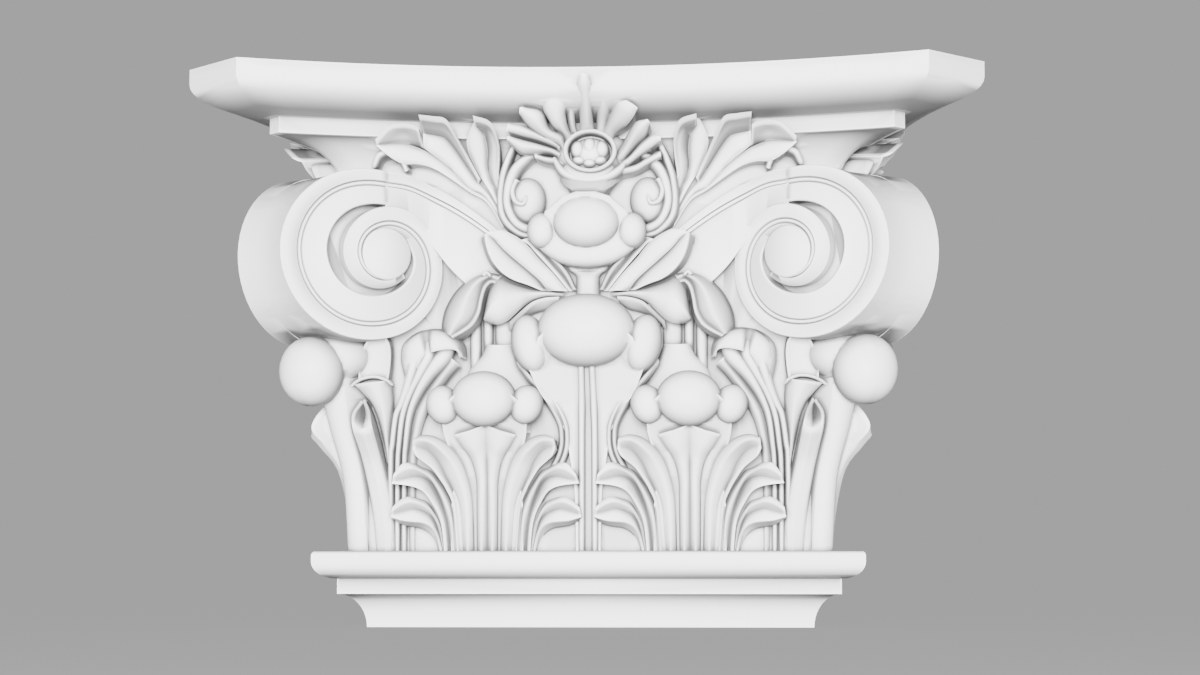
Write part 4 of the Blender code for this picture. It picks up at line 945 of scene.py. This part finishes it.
            across = CUP_MIDDLE[0] + CUP_HALF[0] * radius * math.sin(turn)
            height = CUP_MIDDLE[1] + CUP_HALF[1] * radius * math.cos(turn)
            ring.append(FACE.point(across, height, lift))
        rings.append(ring)
    loft("flower_cup", rings)
    ball(FACE, "bud", (3.1, 313.2, 195.5), (13, 10.2, 8.5))
    for across, height in ((-5.2, 315), (2.6, 317), (10.8, 315)):
        ball(FACE, "bud_petal", (across, height, 198), (5, 6.2, 7.6))
    for across, height in ((-4.5, 307.6), (2.6, 305.8), (9.7, 307.6)):
        ball(FACE, "bud_petal", (across, height, 198.5), (4.6, 3.4, 6.2))


def apply_modifiers(thing):
    """Apply every modifier of an object, in order."""
    select_only(thing)
    for name in [modifier.name for modifier in thing.modifiers]:
        bpy.ops.object.modifier_apply(modifier=name)


def unite(block):
    """Join every piece of the carving to the block as one closed body."""
    group = carving_collection()
    pieces = [piece for piece in group.objects if piece != block]
    if block.name in group.objects:
        group.objects.unlink(block)
        bpy.context.scene.collection.objects.link(block)
    join = block.modifiers.new("unite", "BOOLEAN")
    join.operation = "UNION"
    join.operand_type = "COLLECTION"
    join.collection = group
    join.solver = "MANIFOLD"
    apply_modifiers(block)
    for piece in pieces:
        bpy.data.objects.remove(piece, do_unlink=True)


def mirror_about(thing, normal):
    """Cut the object on a plane through the axis and mirror the side that the normal leaves."""
    mesh = bmesh.new()
    mesh.from_mesh(thing.data)
    plane = Vector(normal).normalized()
    geometry = list(mesh.verts) + list(mesh.edges) + list(mesh.faces)
    bmesh.ops.bisect_plane(mesh, geom=geometry, dist=1e-7, plane_co=(0, 0, 0), plane_no=plane,
                           clear_outer=True)
    for vert in mesh.verts:
        away = vert.co.dot(plane)
        if abs(away) < 2e-6:
            vert.co -= plane * away
    copy = bmesh.ops.duplicate(mesh, geom=list(mesh.verts) + list(mesh.edges) + list(mesh.faces))
    for item in copy["geom"]:
        if isinstance(item, bmesh.types.BMVert):
            item.co -= 2.0 * item.co.dot(plane) * plane
    twins = [item for item in copy["geom"] if isinstance(item, bmesh.types.BMFace)]
    bmesh.ops.reverse_faces(mesh, faces=twins)
    seam = [vert for vert in mesh.verts if abs(vert.co.dot(plane)) < 2e-6]
    bmesh.ops.remove_doubles(mesh, verts=seam, dist=1e-6)
    mesh.to_mesh(thing.data)
    mesh.free()


def drop_pockets(thing):
    """Keep the outer skin alone: the sealed hollows that stay behind the carving are filled."""
    mesh = bmesh.new()
    mesh.from_mesh(thing.data)
    left = set(mesh.verts)
    shells = []
    while left:
        front = [left.pop()]
        shell = set(front)
        while front:
            for edge in front.pop().link_edges:
                for other in edge.verts:
                    if other in left:
                        left.discard(other)
                        shell.add(other)
                        front.append(other)
        shells.append(shell)
    shells.sort(key=len)
    bmesh.ops.delete(mesh, geom=[vert for shell in shells[:-1] for vert in shell], context="VERTS")
    mesh.to_mesh(thing.data)
    mesh.free()


def cut_back(thing):
    """Cut the object off flat on the plane through its axis, where it meets the wall."""
    reach = 2.0 * TOP_HORN[1] * MM
    deselect_all()
    bpy.ops.mesh.primitive_cube_add(size=2.0 * reach, location=(0, reach, 0))
    cutter = bpy.context.object
    cut = thing.modifiers.new("cut", "BOOLEAN")
    cut.operation = "DIFFERENCE"
    cut.object = cutter
    cut.solver = "MANIFOLD"
    apply_modifiers(thing)
    bpy.data.objects.remove(cutter, do_unlink=True)


class Wire:
    """A shader socket that can be used in sums, so that the shader's maths reads as maths."""

    def __init__(self, nodes, socket):
        self.nodes = nodes
        self.socket = socket

    def maths(self, operation, *values):
        """A Math node on this value and others."""
        return self.nodes.add("ShaderNodeMath", {"operation": operation}, dict(enumerate(values)))

    def __add__(self, other):
        return self.maths("ADD", self, other)

    def __radd__(self, other):
        return self.maths("ADD", other, self)

    def __sub__(self, other):
        return self.maths("SUBTRACT", self, other)

    def __rsub__(self, other):
        return self.maths("SUBTRACT", other, self)

    def __mul__(self, other):
        return self.maths("MULTIPLY", self, other)

    def __rmul__(self, other):
        return self.maths("MULTIPLY", other, self)


class Nodes:
    """Makes the nodes of one material."""

    def __init__(self, tree):
        self.tree = tree

    def add(self, kind, settings=None, values=None, output=0):
        """A node of a kind, with its settings, then the values or links of its sockets."""
        node = self.tree.nodes.new(kind)
        for name, value in (settings or {}).items():
            setattr(node, name, value)
        for socket, value in (values or {}).items():
            if isinstance(value, Wire):
                self.tree.links.new(value.socket, node.inputs[socket])
            else:
                node.inputs[socket].default_value = value
        return Wire(self, node.outputs[output])

    def mix(self, factor, first, second):
        """A colour between two colours."""
        return self.add("ShaderNodeMix", {"data_type": "RGBA"}, {0: factor, 6: first, 7: second}, 2)

    def share(self, value, low, high):
        """How far a value has come from low to high, between 0 and 1."""
        return self.add("ShaderNodeMapRange", {"clamp": True}, {0: value, 1: low, 2: high, 3: 0.0, 4: 1.0})

    def reach(self, distance, inside=False):
        """How open the surface is within a distance: 1 on a plain face, 0 in a tight corner."""
        return self.add("ShaderNodeAmbientOcclusion", {"samples": 6, "inside": inside, "only_local": True},
                        {"Distance": distance}, 1)


def rgba(colour):
    """A colour with its alpha."""
    return tuple(colour) + (1.0,)


def white_stone():
    """Matt white stone with painted light and shade: a painted highlight on its ridges, painted shade on
    steep sides and in creases and hollows.
    """
    colours = bpy.context.scene.capital_colours
    material = bpy.data.materials.new("white_stone")
    material.use_nodes = True
    shader = material.node_tree.nodes["Principled BSDF"]
    nodes = Nodes(material.node_tree)
    place = nodes.add("ShaderNodeTexCoord", output=3)
    # Painted shade in tight creases, read from occlusion close to the surface
    crease_shade_mask = nodes.share(1.0 - nodes.reach(colours.crease_shade_reach), *CREASE_SHADE_BETWEEN)
    # Painted shade in hollows, read from occlusion further out from the surface
    hollow_shade_mask = nodes.share(1.0 - nodes.reach(colours.hollow_shade_reach), *HOLLOW_SHADE_BETWEEN)
    # Painted highlight along convex edges and ridges, read from occlusion inside the surface
    ridge_highlight_mask = nodes.share(1.0 - nodes.reach(colours.ridge_highlight_reach, inside=True), *RIDGE_HIGHLIGHT_BETWEEN)
    # Painted shade on the faces that turn steeply away from their side's outward direction
    steepness = nodes.add("ShaderNodeAttribute", {"attribute_name": STEEPNESS}, output=2)
    steep = nodes.share(steepness, *STEEP_SHADE_BETWEEN)
    grain = nodes.add("ShaderNodeTexNoise", None, {"Vector": place, "Scale": 900.0, "Detail": 3.0})
    cloud = nodes.add("ShaderNodeTexNoise", None, {"Vector": place, "Scale": 9.0, "Detail": 2.0})
    # The base colour takes the painted side shade, the painted hollow and crease shade and the painted
    # ridge highlight, then a faint random cloudy tone
    side_shaded = nodes.mix(steep, rgba(colours.stone), rgba(colours.side))
    shaded = nodes.mix(hollow_shade_mask * HOLLOW_SHADE_STRENGTH, side_shaded, rgba(colours.crease))
    crease_shaded = nodes.mix(crease_shade_mask * CREASE_SHADE_STRENGTH, shaded, rgba(colours.crease))
    ridge_highlighted = nodes.mix(ridge_highlight_mask, crease_shaded, rgba(colours.ridge))
    tint = nodes.mix(cloud * CLOUD_STRENGTH, ridge_highlighted, rgba(CLOUD_TINT))
    material.node_tree.links.new(tint.socket, shader.inputs["Base Color"])
    rough = colours.roughness + (grain - 0.5) * 0.1
    material.node_tree.links.new(rough.socket, shader.inputs["Roughness"])
    bump = nodes.add("ShaderNodeBump", None, {"Strength": 0.06, "Distance": 0.0004, "Height": grain})
    material.node_tree.links.new(bump.socket, shader.inputs["Normal"])
    return material


def pale_floor():
    """The even grey of the studio floor."""
    colours = bpy.context.scene.capital_colours
    material = bpy.data.materials.new("pale_floor")
    material.use_nodes = True
    shader = material.node_tree.nodes["Principled BSDF"]
    shader.inputs["Base Color"].default_value = rgba(colours.floor)
    shader.inputs["Roughness"].default_value = 1.0
    shader.inputs["Specular IOR Level"].default_value = 0.0
    shader.inputs["Emission Color"].default_value = (1.0, 1.0, 1.0, 1.0)
    shader.inputs["Emission Strength"].default_value = colours.floor_glow
    return material


def note_steepness(thing):
    """Write on each vertex how steeply the surface there turns away from its side's outward direction. The
    stone's material paints shade on the steep faces by it.
    """
    mesh = thing.data
    values = []
    for vert in mesh.vertices:
        normal = vert.normal
        across = abs(vert.co.x)
        out = CAD_HIGH.y - vert.co.y
        side = math.copysign(1.0, vert.co.x)
        facing = [-normal.y] if out > across - SIDE_MARGIN else []
        if across > out - SIDE_MARGIN:
            facing.append(side * normal.x)
        if abs(across - out) < CORNER_MARGIN:
            facing.append((side * normal.x - normal.y) / ROOT_TWO)
        values.append(1.0 - max(max(facing), 0.0))
    mesh.attributes.new(STEEPNESS, "FLOAT", "POINT").data.foreach_set("value", values)


class CAPITAL_OT_block(bpy.types.Operator):
    """Make the plain block: the base moulding, the bell and the abacus"""

    bl_idname = "capital.block"
    bl_label = "Block"

    def execute(self, context):
        make_bell_and_abacus()
        make_base()
        return {"FINISHED"}


class CAPITAL_OT_scrolls(bpy.types.Operator):
    """Carve the corner scroll with its thick body and its stem"""

    bl_idname = "capital.scrolls"
    bl_label = "Scrolls"

    def execute(self, context):
        make_bolster()
        make_scroll_stem()
        make_scroll()
        return {"FINISHED"}


class CAPITAL_OT_leaves(bpy.types.Operator):
    """Carve the leaves, stems and balls that the front and the sides share"""

    bl_idname = "capital.leaves"
    bl_label = "Leaves"

    def execute(self, context):
        for make in (make_corner_leaf, make_caulicole, make_middle_leaf, make_drooping_leaves,
                     make_upper_leaf,
                     make_pointed_leaf, make_helix):
            make()
        return {"FINISHED"}


class CAPITAL_OT_join(bpy.types.Operator):
    """Unite the carving and mirror it, add the low leaves and the flowers, and cut the back off flat"""

    bl_idname = "capital.join"
    bl_label = "Join"

    def execute(self, context):
        block = carving_collection().objects["block"]
        unite(block)
        mirror_about(block, (1.0, 1.0, 0.0))
        make_low_leaf()
        make_plain_leaf()
        unite(block)
        mirror_about(block, (-1.0, 0.0, 0.0))
        make_flower()
        flower = list(carving_collection().objects)
        for side in (1, -1):
            for piece in flower:
                copy = bpy.data.objects.new(piece.name, piece.data.copy())
                copy.data.transform(Matrix.Rotation(side * math.pi / 2, 4, "Z"))
                carving_collection().objects.link(copy)
        unite(block)
        drop_pockets(block)
        cut_back(block)
        block.data.transform(Matrix.Translation((0, CAD_HIGH.y, 0)))
        block.name = "carved_capital"
        block.data.name = "carved_capital"
        note_steepness(block)
        select_only(block)
        bpy.ops.object.shade_smooth_by_angle(angle=context.scene.capital_sizes.smooth_angle)
        block.data.materials.clear()
        block.data.materials.append(white_stone())
        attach(block, "root")
        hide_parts("capital")
        return {"FINISHED"}


class CAPITAL_OT_stage(bpy.types.Operator):
    """Lay the floor with its sweep, and set the lights and the camera"""

    bl_idname = "capital.stage"
    bl_label = "Stage"

    def execute(self, context):
        make_floor()
        make_lights()
        make_camera()
        return {"FINISHED"}


def make_floor(sweep_steps=16):
    """A pale floor that sweeps up into a backdrop far behind the object."""
    deselect_all()
    bpy.ops.mesh.primitive_plane_add(size=1.0, location=(0, 0, 0))
    floor = bpy.context.object
    floor.name = "floor"
    floor.scale = (FLOOR_WIDTH, FLOOR_DEPTH, 1.0)
    bpy.ops.object.transform_apply(location=False, rotation=False, scale=True)
    mesh = bmesh.new()
    mesh.from_mesh(floor.data)
    edge = max(mesh.edges, key=lambda item: sum(vert.co.y for vert in item.verts))
    for step in range(sweep_steps + 1):
        turn = math.pi / 2 * min(step + 1, sweep_steps) / sweep_steps
        grown = bmesh.ops.extrude_edge_only(mesh, edges=[edge])["geom"]
        edge = next(item for item in grown if isinstance(item, bmesh.types.BMEdge))
        for vert in edge.verts:
            vert.co.y = FLOOR_DEPTH / 2 + SWEEP_RADIUS * math.sin(turn)
            vert.co.z = SWEEP_RADIUS * (1.0 - math.cos(turn)) if step < sweep_steps else BACKDROP_TOP
    mesh.to_mesh(floor.data)
    mesh.free()
    floor.data.materials.append(pale_floor())


def add_light(name, place, aim, size, power):
    """A soft square light that faces a point."""
    data = bpy.data.lights.new(name, "AREA")
    data.energy = power
    data.size = size
    light = bpy.data.objects.new(name, data)
    light.location = place
    light.rotation_euler = (Vector(aim) - Vector(place)).to_track_quat("-Z", "Y").to_euler()
    bpy.context.scene.collection.objects.link(light)


def camera_place():
    """Where the camera stands, in the photograph's viewing direction, and the point it looks at."""
    aim = Vector((0.0, CAD_HIGH.y, CAMERA_AIM_HEIGHT))
    away = Vector((math.sin(CAMERA_TURN) * math.cos(CAMERA_DIP),
                   -math.cos(CAMERA_TURN) * math.cos(CAMERA_DIP),
                   math.sin(CAMERA_DIP)))
    return aim + away * CAMERA_DISTANCE, aim


def make_lights():
    """One soft panel close to the camera, and a dim surround."""
    place, aim = camera_place()
    add_light("front_panel", place + PANEL_OFFSET, aim, PANEL_SIZE, PANEL_POWER)
    world = bpy.data.worlds.new("surround")
    world.use_nodes = True
    background = world.node_tree.nodes["Background"]
    background.inputs[0].default_value = rgba(bpy.context.scene.capital_colours.surround)
    background.inputs[1].default_value = 1.0
    bpy.context.scene.world = world


def make_camera():
    """The camera at the photograph's viewing angle."""
    place, aim = camera_place()
    data = bpy.data.cameras.new("camera")
    data.sensor_width = SENSOR_WIDTH
    data.lens = CAMERA_PIXELS / PHOTO_WIDTH * data.sensor_width
    data.shift_x = CAMERA_SHIFT
    camera = bpy.data.objects.new("camera", data)
    camera.location = place
    camera.rotation_euler = (aim - place).to_track_quat("-Z", "Y").to_euler()
    bpy.context.scene.collection.objects.link(camera)
    bpy.context.scene.camera = camera


class CAPITAL_PT_panel(bpy.types.Panel):
    """Lists the steps and the settings of the capital"""

    bl_idname = "CAPITAL_PT_panel"
    bl_label = "Column capital"
    bl_space_type = "VIEW_3D"
    bl_region_type = "UI"
    bl_category = "Capital"

    def draw(self, context):
        layout = self.layout
        for operator in OPERATORS:
            layout.operator(operator.bl_idname)
        for group in (context.scene.capital_sizes, context.scene.capital_colours):
            for name in group.__annotations__:
                layout.prop(group, name)


OPERATORS = (CAPITAL_OT_stage, CAPITAL_OT_block, CAPITAL_OT_scrolls, CAPITAL_OT_leaves, CAPITAL_OT_join)
CLASSES = (CapitalSizes, CapitalColours) + OPERATORS + (CAPITAL_PT_panel,)


def register():
    """Register the classes and their settings."""
    for item in CLASSES:
        bpy.utils.register_class(item)
    bpy.types.Scene.capital_sizes = PointerProperty(type=CapitalSizes)
    bpy.types.Scene.capital_colours = PointerProperty(type=CapitalColours)


def unregister():
    """Take the settings and the classes away again."""
    del bpy.types.Scene.capital_colours
    del bpy.types.Scene.capital_sizes
    for item in reversed(CLASSES):
        bpy.utils.unregister_class(item)


def main():
    """Make the stage and the capital."""
    register()
    bpy.ops.capital.stage()
    bpy.ops.capital.block()
    bpy.ops.capital.scrolls()
    bpy.ops.capital.leaves()
    bpy.ops.capital.join()


if __name__ == "__main__":
    main()
